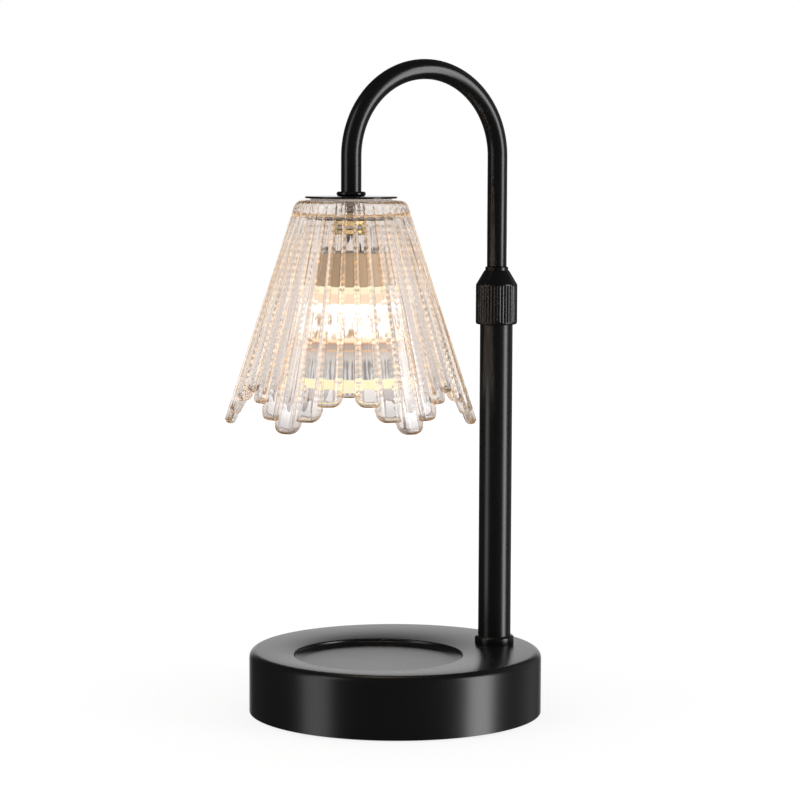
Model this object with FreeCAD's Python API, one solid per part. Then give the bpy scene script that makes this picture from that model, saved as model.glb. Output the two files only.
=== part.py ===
import FreeCAD
import Part
import math
import os

# Candle warmer lamp: a weighted round base with a recess for a candle jar, an upright pole,
# a gooseneck arm that slides and swivels in the pole, and a fluted glass shade over a GU10 lamp.
# Millimetres. Origin at the centre of the base on the table, +Z up, +X to the right of the lamp's
# front view, -Y towards the front. The arm is drawn half way up its travel.

# ---------------------------------------------------------- driving dimensions: clearances
TOUCH_CLEARANCE = 0.3        # between pieces that move past each other without guiding each other
SLIDE_FIT = 0.05             # radial clearance of a sliding or turning fit
BOLT_CLEARANCE = 0.25        # radial clearance of a hole over a threaded rod or screw

# ---------------------------------------------------------- driving dimensions: base
BASE_RADIUS = 70.0
BASE_TOP_Z = 30.3
SHELL_WALL = 1.2
SHELL_TOP_ROUND = 3.5
SHELL_RIM_Z = 0.8            # gap between the shell's rim and the table
PAD_THICKNESS = 1.0
PAD_EDGE_INSET = 2.5         # pad edge inside the closing plate's edge
PLATE_THICKNESS = 1.0
PLATE_EDGE_CLEARANCE = 0.4   # closing plate to the shell's wall
WEIGHT_THICKNESS = 12.0
WEIGHT_EDGE_CLEARANCE = 4.0  # weight to the shell's wall
WEIGHT_FLOOR = 2.0           # iron left under the wiring channel
RECESS_X = -8.0
RECESS_Y = -14.0
RECESS_RADIUS = 40.0
RECESS_DEPTH = 2.5
POST_COUNT = 3
POST_RADIUS = 4.5
POST_EDGE_INSET = 8.8        # post axis to the shell's wall
POST_FIRST_BEARING = 40.0
BASE_SCREW_RADIUS = 2.0
BASE_SCREW_HEAD_RADIUS = 4.0
BASE_SCREW_GRIP = 8.0        # thread inside the post

# ---------------------------------------------------------- driving dimensions: wiring in the base
INLET_Z = 9.5
INLET_HOLE_RADIUS = 5.0
INLET_BORE_RADIUS = 3.3
GROMMET_FLANGE_WIDTH = 2.0
GROMMET_FLANGE_THICKNESS = 1.6
CHANNEL_WIDTH = 9.0
BLOCK_LENGTH = 20.0
BLOCK_WIDTH = 17.0
BLOCK_HEIGHT = 12.0
BLOCK_EDGE_INSET = 28.0      # middle of the block to the base's outer edge
BLOCK_POCKET_ROOM = 7.0      # wiring room at each end of the block
BLOCK_SIDE_CLEARANCE = 0.8
BLOCK_WAY_SPACING = 8.0
BLOCK_WAY_RADIUS = 1.7
BLOCK_SCREW_SPACING = 9.0
BLOCK_SCREW_RADIUS = 1.8
BASE_LEAD_RADIUS = 2.5
BASE_LEAD_Z = 8.5
BASE_LEAD_LAST_RUN = 18.0

# ---------------------------------------------------------- driving dimensions: pole
POLE_EDGE_INSET = 19.1       # pole axis to the base's outer edge
POLE_BEARING = 19.2
COLLAR_RADIUS = 9.45
COLLAR_HEIGHT = 4.0
COLLAR_FLOOR = 1.5
COLLAR_BEVEL = 0.8
TUBE_RADIUS = 7.9
TUBE_WALL = 1.2
TUBE_TOP_Z = 188.0
PLUG_LENGTH = 12.0
NIPPLE_RADIUS = 5.0
NIPPLE_BORE_RADIUS = 3.5
NIPPLE_TAIL = 1.5            # thread below the foot nut
FOOT_WASHER_RADIUS = 12.0
FOOT_WASHER_THICKNESS = 1.5
FOOT_NUT_FLATS = 17.0
FOOT_NUT_HEIGHT = 5.0

# ---------------------------------------------------------- driving dimensions: clamp on the pole
HEAD_SPIGOT_LENGTH = 16.0
HEAD_LENGTH = 14.0
HEAD_THREAD_RADIUS = 8.25
COLLET_WALL = 1.65
COLLET_SEAT_DEPTH = 9.0
COLLET_STAND_OUT = 4.0       # collet above the head's end face
COLLET_TAPER = 0.8
COLLET_TAPER_LENGTH = 1.6
COLLET_SLIT = 1.2
NUT_RADIUS = 10.0
NUT_SKIRT = 2.6              # nut below the tube's end
NUT_BODY_LENGTH = 19.4
NUT_CONE_LENGTH = 6.6
NUT_TOP_RADIUS = 5.7
NUT_LIP_HEIGHT = 1.6
NUT_LIP_WALL = 0.5
NUT_EDGE_ROUND = 1.0
KNURL_COUNT = 36
KNURL_RADIUS = 0.6
KNURL_DEPTH = 0.35

# ---------------------------------------------------------- driving dimensions: gooseneck arm
ARM_RADIUS = 4.75
ARM_WALL = 1.0
ARM_BEARING = 212.1          # direction from the pole to the shade
ARCH_RADIUS = 40.8
ARCH_CENTRE_Z = 265.7
ARM_LEG_LENGTH = 150.0
BUSH_LENGTH = 14.3
BUSH_SHOULDER = 3.0
ARM_LEAD_RADIUS = 3.1
ARM_LEAD_TAIL = 14.0         # lead below the guide bush

# ---------------------------------------------------------- driving dimensions: shade and its clamp
SHADE_TOP_Z = 245.7
SHADE_TOP_RADIUS = 25.5
SHADE_RIM_RADIUS = 59.4
SHADE_TIP_Z = 141.6
SHADE_WALL = 5.6
SHADE_CROWN = 8.1            # thickness of the glass at its top
SHADE_SHOULDER_ROUND = 4.0
SHADE_HOLE_CLEARANCE = 0.75
PETAL_COUNT = 6
RODS_PER_PETAL = 6
PETAL_STEP_1 = 5.5           # from the tip rod up to the rods beside it
PETAL_STEP_2 = 6.8
PETAL_STEP_3 = 4.4
FLUTE_DEPTH = 1.6
ROD_END_ROUND = 3.7
GASKET_THICKNESS = 0.7
GASKET_INSET = 2.5
CAP_RADIUS = 21.5
CAP_THICKNESS = 1.0
CLAMP_PLATE_RADIUS = 20.5
CLAMP_PLATE_THICKNESS = 1.0
STOP_RING_RADIUS = 6.85
STOP_RING_HEIGHT = 2.2
ARM_NUT_FLATS = 14.0
ARM_NUT_HEIGHT = 2.5
ARM_THREAD_TAIL = 0.5        # tube below the lowest nut

# ---------------------------------------------------------- driving dimensions: lamp holder
BRACKET_THICKNESS = 0.8
BRACKET_WIDTH = 14.0
BRACKET_HALF_SPAN = 9.6      # outside of a leg to the shade's axis
BRACKET_FOOT = 5.6
HOLDER_TOP_RADIUS = 16.25
HOLDER_BOTTOM_RADIUS = 18.35
HOLDER_TOP_Z = 221.2
HOLDER_HEIGHT = 15.5
HOLDER_POCKET_RADIUS = 14.0
HOLDER_POCKET_DEPTH = 6.0
HOLDER_SCREW_SPACING = 25.0
HOLDER_SCREW_RADIUS = 1.5
HOLDER_SCREW_DEPTH = 6.5
HOLDER_SCREW_HEAD_RADIUS = 2.6
HOLDER_SCREW_HEAD_HEIGHT = 1.8
PIN_SPACING = 10.0
PIN_NECK_RADIUS = 1.5
PIN_NECK_LENGTH = 4.1
PIN_HEAD_RADIUS = 2.5
PIN_HEAD_LENGTH = 2.7
PIN_CLEARANCE = 0.4
PIN_HEAD_ROOM = 1.0          # space above the pins for the contacts
TWIST_ANGLE = 20.0           # from locked to free
CONTACT_THICKNESS = 0.5
CONTACT_LENGTH = 4.4
CONTACT_WIDTH = 3.0
WIRE_RADIUS = 0.95
WIRE_HOLE_RADIUS = 1.25
WIRE_START_OFFSET = 1.3
WIRE_ENTRY_OFFSET = 3.7
WIRE_STRAIGHT = 3.0          # upright stretch above the holder

# ---------------------------------------------------------- driving dimensions: bulb
CAP_SIDE_CLEARANCE = 0.4
CAP_END_CLEARANCE = 0.3
BULB_NECK_DROP = 0.5         # bulb's cap below the holder's face
BULB_SHOULDER_RADIUS = 17.0
BULB_SHOULDER_DROP = 0.6
BULB_MIDDLE_RADIUS = 22.3
BULB_MIDDLE_DROP = 18.9
BULB_FRONT_RADIUS = 25.2
BULB_BOWL_DEPTH = 41.6
BULB_RIM_HEIGHT = 4.4
BULB_WALL = 1.5
BULB_BACK_HOLE_RADIUS = 8.0
LENS_THICKNESS = 2.0
LENS_INSET = 0.6
LENS_LEDGE = 0.3             # step in the rim that the lens sits against
CAPSULE_RADIUS = 5.5
CAPSULE_LENGTH = 21.0
CAPSULE_WALL = 1.1
PINCH_RADIUS = 4.0
PINCH_LENGTH = 9.9
FILAMENT_RADIUS = 1.2
FILAMENT_LENGTH = 8.0
FILAMENT_LEAD_RADIUS = 0.3
FILAMENT_LEAD_LENGTH = 5.0

# ---------------------------------------------------------- derived places
UP = FreeCAD.Vector(0, 0, 1)
OUT_PAST = 1.0               # how far a cutting shape runs past the face it opens
BEND_SHARE = 0.45            # share of the shorter run that a bend in a lead or wire takes up

POLE_X = (BASE_RADIUS - POLE_EDGE_INSET) * math.cos(math.radians(POLE_BEARING))
POLE_Y = (BASE_RADIUS - POLE_EDGE_INSET) * math.sin(math.radians(POLE_BEARING))
ARM_DIR_X = math.cos(math.radians(ARM_BEARING))
ARM_DIR_Y = math.sin(math.radians(ARM_BEARING))
SHADE_X = POLE_X + 2 * ARCH_RADIUS * ARM_DIR_X
SHADE_Y = POLE_Y + 2 * ARCH_RADIUS * ARM_DIR_Y
BASE_AXIS = (0.0, 0.0)
POLE_AXIS = (POLE_X, POLE_Y)
SHADE_AXIS = (SHADE_X, SHADE_Y)
RECESS_AXIS = (RECESS_X, RECESS_Y)
BLOCK_Y = BASE_RADIUS - BLOCK_EDGE_INSET

SHELL_INNER_RADIUS = BASE_RADIUS - SHELL_WALL
SHELL_CEILING_Z = BASE_TOP_Z - SHELL_WALL
PLATE_RADIUS = SHELL_INNER_RADIUS - PLATE_EDGE_CLEARANCE
PLATE_TOP_Z = PAD_THICKNESS + PLATE_THICKNESS
WEIGHT_RADIUS = SHELL_INNER_RADIUS - WEIGHT_EDGE_CLEARANCE
WEIGHT_TOP_Z = PLATE_TOP_Z + WEIGHT_THICKNESS
CHANNEL_FLOOR_Z = PLATE_TOP_Z + WEIGHT_FLOOR
POST_CIRCLE_RADIUS = SHELL_INNER_RADIUS - POST_EDGE_INSET

FOOT_WASHER_Z = SHELL_CEILING_Z - FOOT_WASHER_THICKNESS
FOOT_NUT_Z = FOOT_WASHER_Z - FOOT_NUT_HEIGHT
NIPPLE_BOTTOM_Z = FOOT_NUT_Z - NIPPLE_TAIL
TUBE_BOTTOM_Z = BASE_TOP_Z + COLLAR_FLOOR
TUBE_BORE_RADIUS = TUBE_RADIUS - TUBE_WALL
PLUG_TOP_Z = TUBE_BOTTOM_Z + PLUG_LENGTH

HEAD_TOP_Z = TUBE_TOP_Z + HEAD_LENGTH
HEAD_BOTTOM_Z = TUBE_TOP_Z - HEAD_SPIGOT_LENGTH
HEAD_BORE_RADIUS = ARM_RADIUS + TOUCH_CLEARANCE
COLLET_BORE_RADIUS = ARM_RADIUS + SLIDE_FIT
COLLET_RADIUS = COLLET_BORE_RADIUS + COLLET_WALL
COLLET_SEAT_RADIUS = COLLET_RADIUS + SLIDE_FIT
COLLET_SEAT_Z = HEAD_TOP_Z - COLLET_SEAT_DEPTH
COLLET_TOP_Z = HEAD_TOP_Z + COLLET_STAND_OUT
NUT_BOTTOM_Z = TUBE_TOP_Z - NUT_SKIRT
NUT_CONE_Z = NUT_BOTTOM_Z + NUT_BODY_LENGTH
NUT_FACE_Z = NUT_CONE_Z + NUT_CONE_LENGTH
NUT_BORE_RADIUS = ARM_RADIUS + TOUCH_CLEARANCE

ARM_BORE_RADIUS = ARM_RADIUS - ARM_WALL
ARM_LEG_BOTTOM_Z = ARCH_CENTRE_Z - ARM_LEG_LENGTH
BUSH_BOTTOM_Z = ARM_LEG_BOTTOM_Z - BUSH_SHOULDER
BUSH_RADIUS = TUBE_BORE_RADIUS - SLIDE_FIT

UPPER_GASKET_TOP_Z = SHADE_TOP_Z + GASKET_THICKNESS
CAP_TOP_Z = UPPER_GASKET_TOP_Z + CAP_THICKNESS
SHADE_CEILING_Z = SHADE_TOP_Z - SHADE_CROWN
CLAMP_PLATE_TOP_Z = SHADE_CEILING_Z - GASKET_THICKNESS
SHADE_NUT_TOP_Z = CLAMP_PLATE_TOP_Z - CLAMP_PLATE_THICKNESS
BRACKET_TOP_Z = SHADE_NUT_TOP_Z - ARM_NUT_HEIGHT
BRACKET_NUT_TOP_Z = BRACKET_TOP_Z - BRACKET_THICKNESS
ARM_END_Z = BRACKET_NUT_TOP_Z - ARM_NUT_HEIGHT - ARM_THREAD_TAIL
STACK_HOLE_RADIUS = ARM_RADIUS + BOLT_CLEARANCE
SHADE_SLOPE = (SHADE_RIM_RADIUS - SHADE_TOP_RADIUS) / (SHADE_TOP_Z - SHADE_TIP_Z)
SHADE_CLEAR_RADIUS = SHADE_RIM_RADIUS + 10 * OUT_PAST    # outside the glass all the way down

HOLDER_BOTTOM_Z = HOLDER_TOP_Z - HOLDER_HEIGHT
POCKET_CEILING_Z = HOLDER_BOTTOM_Z + HOLDER_POCKET_DEPTH
BULB_CAP_TOP_Z = POCKET_CEILING_Z - CAP_END_CLEARANCE
BULB_CAP_BOTTOM_Z = HOLDER_BOTTOM_Z - BULB_NECK_DROP
PIN_HEAD_Z = BULB_CAP_TOP_Z + PIN_NECK_LENGTH
PIN_TOP_Z = PIN_HEAD_Z + PIN_HEAD_LENGTH
HEAD_CAVITY_Z = PIN_HEAD_Z - TOUCH_CLEARANCE
HEAD_CAVITY_TOP_Z = PIN_TOP_Z + PIN_HEAD_ROOM
PIN_CIRCLE_RADIUS = PIN_SPACING / 2
BOWL_FRONT_Z = BULB_CAP_BOTTOM_Z - BULB_BOWL_DEPTH
BULB_FRONT_Z = BOWL_FRONT_Z - BULB_RIM_HEIGHT
LENS_Z = BULB_FRONT_Z + LENS_INSET
LENS_RADIUS = BULB_FRONT_RADIUS - BULB_WALL + LENS_LEDGE


# ---------------------------------------------------------- shapes used by several pieces
def vec(x, y, z):
    return FreeCAD.Vector(x, y, z)


def cylinder(axis, radius, z_low, z_high):
    """Upright round bar on the given axis."""
    return Part.makeCylinder(radius, z_high - z_low, vec(axis[0], axis[1], z_low), UP)


def ring(axis, radius, bore_radius, z_low, z_high):
    """Upright round bar with a hole right through it."""
    hole = cylinder(axis, bore_radius, z_low - OUT_PAST, z_high + OUT_PAST)
    return cylinder(axis, radius, z_low, z_high).cut(hole)


def cone(axis, low_radius, high_radius, z_low, z_high):
    """Upright frustum on the given axis."""
    return Part.makeCone(low_radius, high_radius, z_high - z_low, vec(axis[0], axis[1], z_low), UP)


def turned(axis, edges):
    """Solid of revolution from edges of a closed outline drawn in the XZ plane."""
    face = Part.Face(Part.Wire(edges))
    solid = face.revolve(vec(0, 0, 0), UP, 360)
    solid.translate(vec(axis[0], axis[1], 0))
    return solid


def outline(points):
    """Straight edges through (radius, height) points, closed at the end."""
    corners = [vec(radius, 0, height) for radius, height in points]
    corners.append(corners[0])
    return [Part.makeLine(a, b) for a, b in zip(corners, corners[1:])]


def line(start, end):
    """One straight outline edge between (radius, height) points."""
    return Part.makeLine(vec(start[0], 0, start[1]), vec(end[0], 0, end[1]))


def arc(start, middle, end):
    """One round outline edge through three (radius, height) points."""
    points = [vec(radius, 0, height) for radius, height in (start, middle, end)]
    return Part.Arc(*points).toShape()


def on_circle(centre, radius, degrees):
    """Middle point of a quarter round, as (radius, height)."""
    angle = math.radians(degrees)
    return (centre[0] + radius * math.cos(angle), centre[1] + radius * math.sin(angle))


def hex_bar(axis, flats, z_low, z_high):
    """Upright hexagonal bar, measured across its flats."""
    corner_radius = flats / 2 / math.cos(math.radians(30))
    corners = []
    for index in range(7):
        angle = math.radians(60 * index)
        x = axis[0] + corner_radius * math.cos(angle)
        y = axis[1] + corner_radius * math.sin(angle)
        corners.append(vec(x, y, z_low))
    return Part.Face(Part.makePolygon(corners)).extrude(vec(0, 0, z_high - z_low))


def block(axis, length, width, z_low, z_high):
    """Upright box centred on the given axis, length along X."""
    corner = vec(axis[0] - length / 2, axis[1] - width / 2, z_low)
    return Part.makeBox(length, width, z_high - z_low, corner)


def routed_bar(points, radius):
    """Round bar along straight runs joined by tangent arcs, each as large as its runs allow."""
    edges = []
    here = points[0]
    for index in range(1, len(points) - 1):
        corner = points[index]
        back = points[index - 1] - corner
        ahead = points[index + 1] - corner
        turn = math.pi - back.getAngle(ahead)
        shorter = min(back.Length, ahead.Length)
        setback = BEND_SHARE * shorter
        back.normalize()
        ahead.normalize()
        enter = corner + back * setback
        leave = corner + ahead * setback
        inward = (back + ahead).normalize()
        bend_radius = setback / math.tan(turn / 2)
        middle = corner + inward * (bend_radius / math.cos(turn / 2) - bend_radius)
        edges.append(Part.makeLine(here, enter))
        edges.append(Part.Arc(enter, middle, leave).toShape())
        here = leave
    edges.append(Part.makeLine(here, points[-1]))
    return swept(Part.Wire(edges), points[0], points[1] - points[0], radius)


def swept(path, start, direction, radius):
    """Round bar along a smooth path."""
    section = Part.Wire(Part.makeCircle(radius, start, direction))
    return path.makePipeShell([section], True, False)


# ---------------------------------------------------------- base
def recess_shape(growth):
    """Dish of the recess, grown on all sides: straight floor and a round cove at its edge."""
    z_high = BASE_TOP_Z + OUT_PAST
    edge_radius = RECESS_RADIUS + growth
    floor_z = BASE_TOP_Z - RECESS_DEPTH - growth
    cove_radius = RECESS_DEPTH + growth
    cove_centre = (edge_radius - cove_radius, BASE_TOP_Z)
    edges = [
        line((0, z_high), (0, floor_z)),
        line((0, floor_z), (cove_centre[0], floor_z)),
        arc((cove_centre[0], floor_z), on_circle(cove_centre, cove_radius, -45), (edge_radius, BASE_TOP_Z)),
        line((edge_radius, BASE_TOP_Z), (edge_radius, z_high)),
        line((edge_radius, z_high), (0, z_high)),
    ]
    return turned(RECESS_AXIS, edges)


def drum(radius, top_z, top_round, z_low):
    """Round drum with a rounded top edge."""
    centre = (radius - top_round, top_z - top_round)
    edges = [
        line((0, top_z), (0, z_low)),
        line((0, z_low), (radius, z_low)),
        line((radius, z_low), (radius, centre[1])),
        arc((radius, centre[1]), on_circle(centre, top_round, 45), (centre[0], top_z)),
        line((centre[0], top_z), (0, top_z)),
    ]
    return turned(BASE_AXIS, edges)


def inlet_bar(radius, y_low, y_high):
    """Round bar along the cord inlet's axis, which leaves the base at its back."""
    return Part.makeCylinder(radius, y_high - y_low, vec(0, y_low, INLET_Z), vec(0, 1, 0))


def make_base_shell():
    outside = drum(BASE_RADIUS, BASE_TOP_Z, SHELL_TOP_ROUND, SHELL_RIM_Z)
    hollow = drum(SHELL_INNER_RADIUS, SHELL_CEILING_Z, SHELL_TOP_ROUND - SHELL_WALL, SHELL_RIM_Z - OUT_PAST)
    pan = recess_shape(SHELL_WALL)
    shell = outside.cut(hollow.cut(pan))
    shell = shell.cut(recess_shape(0))
    pole_hole_radius = NIPPLE_RADIUS + BOLT_CLEARANCE
    hole_low_z = SHELL_CEILING_Z - OUT_PAST
    shell = shell.cut(cylinder(POLE_AXIS, pole_hole_radius, hole_low_z, BASE_TOP_Z + OUT_PAST))
    inside_y = SHELL_INNER_RADIUS - OUT_PAST
    return shell.cut(inlet_bar(INLET_HOLE_RADIUS, inside_y, BASE_RADIUS + OUT_PAST))


def post_axes():
    """Axes of the posts, evenly spaced round the base."""
    axes = []
    for index in range(POST_COUNT):
        angle = math.radians(POST_FIRST_BEARING + 360.0 / POST_COUNT * index)
        axes.append((POST_CIRCLE_RADIUS * math.cos(angle), POST_CIRCLE_RADIUS * math.sin(angle)))
    return axes


def base_screw(axis):
    """Countersunk screw up through plate and weight into a post."""
    cone_height = BASE_SCREW_HEAD_RADIUS - BASE_SCREW_RADIUS
    head = cone(axis, BASE_SCREW_HEAD_RADIUS, BASE_SCREW_RADIUS, PAD_THICKNESS, PAD_THICKNESS + cone_height)
    shank = cylinder(axis, BASE_SCREW_RADIUS, PAD_THICKNESS, WEIGHT_TOP_Z + BASE_SCREW_GRIP)
    return head.fuse(shank).removeSplitter()


def make_base_posts():
    posts = []
    thread_top_z = WEIGHT_TOP_Z + BASE_SCREW_GRIP + OUT_PAST
    for axis in post_axes():
        thread = cylinder(axis, BASE_SCREW_RADIUS, WEIGHT_TOP_Z - OUT_PAST, thread_top_z)
        posts.append(cylinder(axis, POST_RADIUS, WEIGHT_TOP_Z, SHELL_CEILING_Z).cut(thread))
    return Part.makeCompound(posts)


def make_base_screws():
    return Part.makeCompound([base_screw(axis) for axis in post_axes()])


def base_lead_points():
    """Route of the lead: down the pole, along the channel, into the terminal block."""
    block_face_x = BLOCK_LENGTH / 2
    return [
        vec(POLE_X, POLE_Y, PLUG_TOP_Z + NIPPLE_TAIL),
        vec(POLE_X, POLE_Y, BASE_LEAD_Z),
        vec(block_face_x + BASE_LEAD_LAST_RUN, BLOCK_Y, BASE_LEAD_Z),
        vec(block_face_x, BLOCK_Y, BASE_LEAD_Z),
    ]


def make_base_weight():
    weight = cylinder(BASE_AXIS, WEIGHT_RADIUS, PLATE_TOP_Z, WEIGHT_TOP_Z)
    z_high = WEIGHT_TOP_Z + OUT_PAST
    pocket_length = BLOCK_LENGTH + 2 * BLOCK_POCKET_ROOM
    pocket_width = BLOCK_WIDTH + 2 * BLOCK_SIDE_CLEARANCE
    weight = weight.cut(block((0, BLOCK_Y), pocket_length, pocket_width, CHANNEL_FLOOR_Z, z_high))
    cord_way = Part.makeBox(CHANNEL_WIDTH, BASE_RADIUS - BLOCK_Y, z_high - CHANNEL_FLOOR_Z)
    cord_way.translate(vec(-CHANNEL_WIDTH / 2, BLOCK_Y, CHANNEL_FLOOR_Z))
    weight = weight.cut(cord_way)
    corners = base_lead_points()[1:]
    for start, end in zip(corners, corners[1:]):
        weight = weight.cut(cylinder((start.x, start.y), CHANNEL_WIDTH / 2, CHANNEL_FLOOR_Z, z_high))
        run = end - start
        channel = Part.makeBox(run.Length, CHANNEL_WIDTH, z_high - CHANNEL_FLOOR_Z)
        channel.translate(vec(0, -CHANNEL_WIDTH / 2, CHANNEL_FLOOR_Z))
        channel.rotate(vec(0, 0, 0), UP, math.degrees(math.atan2(run.y, run.x)))
        channel.translate(vec(start.x, start.y, 0))
        weight = weight.cut(channel)
    hole_radius = BASE_SCREW_RADIUS + BOLT_CLEARANCE
    for axis in post_axes():
        weight = weight.cut(cylinder(axis, hole_radius, PLATE_TOP_Z - OUT_PAST, z_high))
        weight = weight.cut(base_screw(axis))
    return weight


def make_base_plate():
    plate = cylinder(BASE_AXIS, PLATE_RADIUS, PAD_THICKNESS, PLATE_TOP_Z)
    for axis in post_axes():
        plate = plate.cut(base_screw(axis))
    return plate


def make_base_pad():
    return cylinder(BASE_AXIS, PLATE_RADIUS - PAD_EDGE_INSET, 0, PAD_THICKNESS)


def make_cord_grommet():
    flange_radius = INLET_HOLE_RADIUS + GROMMET_FLANGE_WIDTH
    y_low = SHELL_INNER_RADIUS - GROMMET_FLANGE_THICKNESS
    y_high = BASE_RADIUS + GROMMET_FLANGE_THICKNESS
    grommet = inlet_bar(flange_radius, y_low, y_high).cut(make_base_shell())
    grommet = grommet.cut(inlet_bar(INLET_BORE_RADIUS, y_low - OUT_PAST, y_high + OUT_PAST))
    return grommet


def block_screw_axes():
    """The terminal block's clamping screws: two to each way."""
    axes = []
    for side_x in (-1, 1):
        for side_y in (-1, 1):
            axes.append((side_x * BLOCK_SCREW_SPACING / 2, BLOCK_Y + side_y * BLOCK_WAY_SPACING / 2))
    return axes


def make_terminal_block():
    top_z = CHANNEL_FLOOR_Z + BLOCK_HEIGHT
    body = block((0, BLOCK_Y), BLOCK_LENGTH, BLOCK_WIDTH, CHANNEL_FLOOR_Z, top_z)
    way_length = BLOCK_LENGTH + 2 * OUT_PAST
    for side in (-1, 1):
        start = vec(-way_length / 2, BLOCK_Y + side * BLOCK_WAY_SPACING / 2, BASE_LEAD_Z)
        body = body.cut(Part.makeCylinder(BLOCK_WAY_RADIUS, way_length, start, vec(1, 0, 0)))
    for axis in block_screw_axes():
        body = body.cut(cylinder(axis, BLOCK_SCREW_RADIUS, BASE_LEAD_Z, top_z + OUT_PAST))
    return body


def make_terminal_screws():
    low_z = BASE_LEAD_Z + BLOCK_WAY_RADIUS
    high_z = CHANNEL_FLOOR_Z + BLOCK_HEIGHT - TOUCH_CLEARANCE
    screws = [cylinder(axis, BLOCK_SCREW_RADIUS, low_z, high_z) for axis in block_screw_axes()]
    return Part.makeCompound(screws)


def make_base_lead():
    return routed_bar(base_lead_points(), BASE_LEAD_RADIUS)


# ---------------------------------------------------------- pole
def make_foot_collar():
    top_z = BASE_TOP_Z + COLLAR_HEIGHT
    bevel_radius = COLLAR_RADIUS - COLLAR_BEVEL
    bore_radius = NIPPLE_RADIUS + BOLT_CLEARANCE
    points = [
        (bore_radius, BASE_TOP_Z),
        (COLLAR_RADIUS, BASE_TOP_Z),
        (COLLAR_RADIUS, top_z - COLLAR_BEVEL),
        (bevel_radius, top_z),
        (TUBE_RADIUS, top_z),
        (TUBE_RADIUS, TUBE_BOTTOM_Z),
        (bore_radius, TUBE_BOTTOM_Z),
    ]
    return turned(POLE_AXIS, outline(points))


def make_outer_tube():
    return ring(POLE_AXIS, TUBE_RADIUS, TUBE_BORE_RADIUS, TUBE_BOTTOM_Z, TUBE_TOP_Z)


def make_tube_plug():
    return ring(POLE_AXIS, TUBE_BORE_RADIUS, NIPPLE_RADIUS, TUBE_BOTTOM_Z, PLUG_TOP_Z)


def make_foot_nipple():
    return ring(POLE_AXIS, NIPPLE_RADIUS, NIPPLE_BORE_RADIUS, NIPPLE_BOTTOM_Z, PLUG_TOP_Z - OUT_PAST)


def make_foot_washer():
    bore_radius = NIPPLE_RADIUS + BOLT_CLEARANCE
    return ring(POLE_AXIS, FOOT_WASHER_RADIUS, bore_radius, FOOT_WASHER_Z, SHELL_CEILING_Z)


def make_foot_nut():
    bar = hex_bar(POLE_AXIS, FOOT_NUT_FLATS, FOOT_NUT_Z, FOOT_WASHER_Z)
    return bar.cut(cylinder(POLE_AXIS, NIPPLE_RADIUS, FOOT_NUT_Z - OUT_PAST, FOOT_WASHER_Z + OUT_PAST))


# ---------------------------------------------------------- clamp on the pole
def make_tube_head():
    points = [
        (HEAD_BORE_RADIUS, HEAD_BOTTOM_Z),
        (TUBE_BORE_RADIUS, HEAD_BOTTOM_Z),
        (TUBE_BORE_RADIUS, TUBE_TOP_Z),
        (HEAD_THREAD_RADIUS, TUBE_TOP_Z),
        (HEAD_THREAD_RADIUS, HEAD_TOP_Z),
        (COLLET_SEAT_RADIUS, HEAD_TOP_Z),
        (COLLET_SEAT_RADIUS, COLLET_SEAT_Z),
        (HEAD_BORE_RADIUS, COLLET_SEAT_Z),
    ]
    return turned(POLE_AXIS, outline(points))


def make_clamp_collet():
    low_z = COLLET_SEAT_Z + TOUCH_CLEARANCE
    taper_z = COLLET_TOP_Z - COLLET_TAPER_LENGTH
    points = [
        (COLLET_BORE_RADIUS, low_z),
        (COLLET_RADIUS, low_z),
        (COLLET_RADIUS, taper_z),
        (COLLET_RADIUS - COLLET_TAPER, COLLET_TOP_Z),
        (COLLET_BORE_RADIUS, COLLET_TOP_Z),
    ]
    sleeve = turned(POLE_AXIS, outline(points))
    slit = Part.makeBox(COLLET_RADIUS + OUT_PAST, COLLET_SLIT, COLLET_TOP_Z - low_z + 2 * OUT_PAST)
    slit.translate(vec(POLE_X, POLE_Y - COLLET_SLIT / 2, low_z - OUT_PAST))
    return sleeve.cut(slit)


def make_clamp_nut():
    thread_radius = HEAD_THREAD_RADIUS + SLIDE_FIT
    chamber_radius = COLLET_RADIUS + TOUCH_CLEARANCE
    lip_radius = NUT_BORE_RADIUS + NUT_LIP_WALL
    chamber_z = HEAD_TOP_Z + TOUCH_CLEARANCE
    chamber_top_z = COLLET_TOP_Z + TOUCH_CLEARANCE
    round_centre = (NUT_RADIUS - NUT_EDGE_ROUND, NUT_BOTTOM_Z + NUT_EDGE_ROUND)
    corners = [
        (NUT_RADIUS, NUT_CONE_Z),
        (NUT_TOP_RADIUS, NUT_FACE_Z),
        (lip_radius, NUT_FACE_Z),
        (lip_radius, NUT_FACE_Z + NUT_LIP_HEIGHT),
        (NUT_BORE_RADIUS, NUT_FACE_Z + NUT_LIP_HEIGHT),
        (NUT_BORE_RADIUS, chamber_top_z),
        (chamber_radius, chamber_top_z),
        (chamber_radius, chamber_z),
        (thread_radius, chamber_z),
        (thread_radius, NUT_BOTTOM_Z),
        (round_centre[0], NUT_BOTTOM_Z),
    ]
    edges = [line(a, b) for a, b in zip(corners, corners[1:])]
    round_middle = on_circle(round_centre, NUT_EDGE_ROUND, -45)
    edges.append(arc(corners[-1], round_middle, (NUT_RADIUS, round_centre[1])))
    edges.append(line((NUT_RADIUS, round_centre[1]), corners[0]))
    nut = turned(POLE_AXIS, edges)
    knurl_circle = NUT_RADIUS + KNURL_RADIUS - KNURL_DEPTH
    grooves = []
    for index in range(KNURL_COUNT):
        angle = 2 * math.pi * index / KNURL_COUNT
        axis = (POLE_X + knurl_circle * math.cos(angle), POLE_Y + knurl_circle * math.sin(angle))
        groove_low_z = NUT_BOTTOM_Z + NUT_EDGE_ROUND
        groove_high_z = NUT_CONE_Z - NUT_EDGE_ROUND
        grooves.append(cylinder(axis, KNURL_RADIUS, groove_low_z, groove_high_z))
    return nut.cut(Part.makeCompound(grooves))


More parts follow.
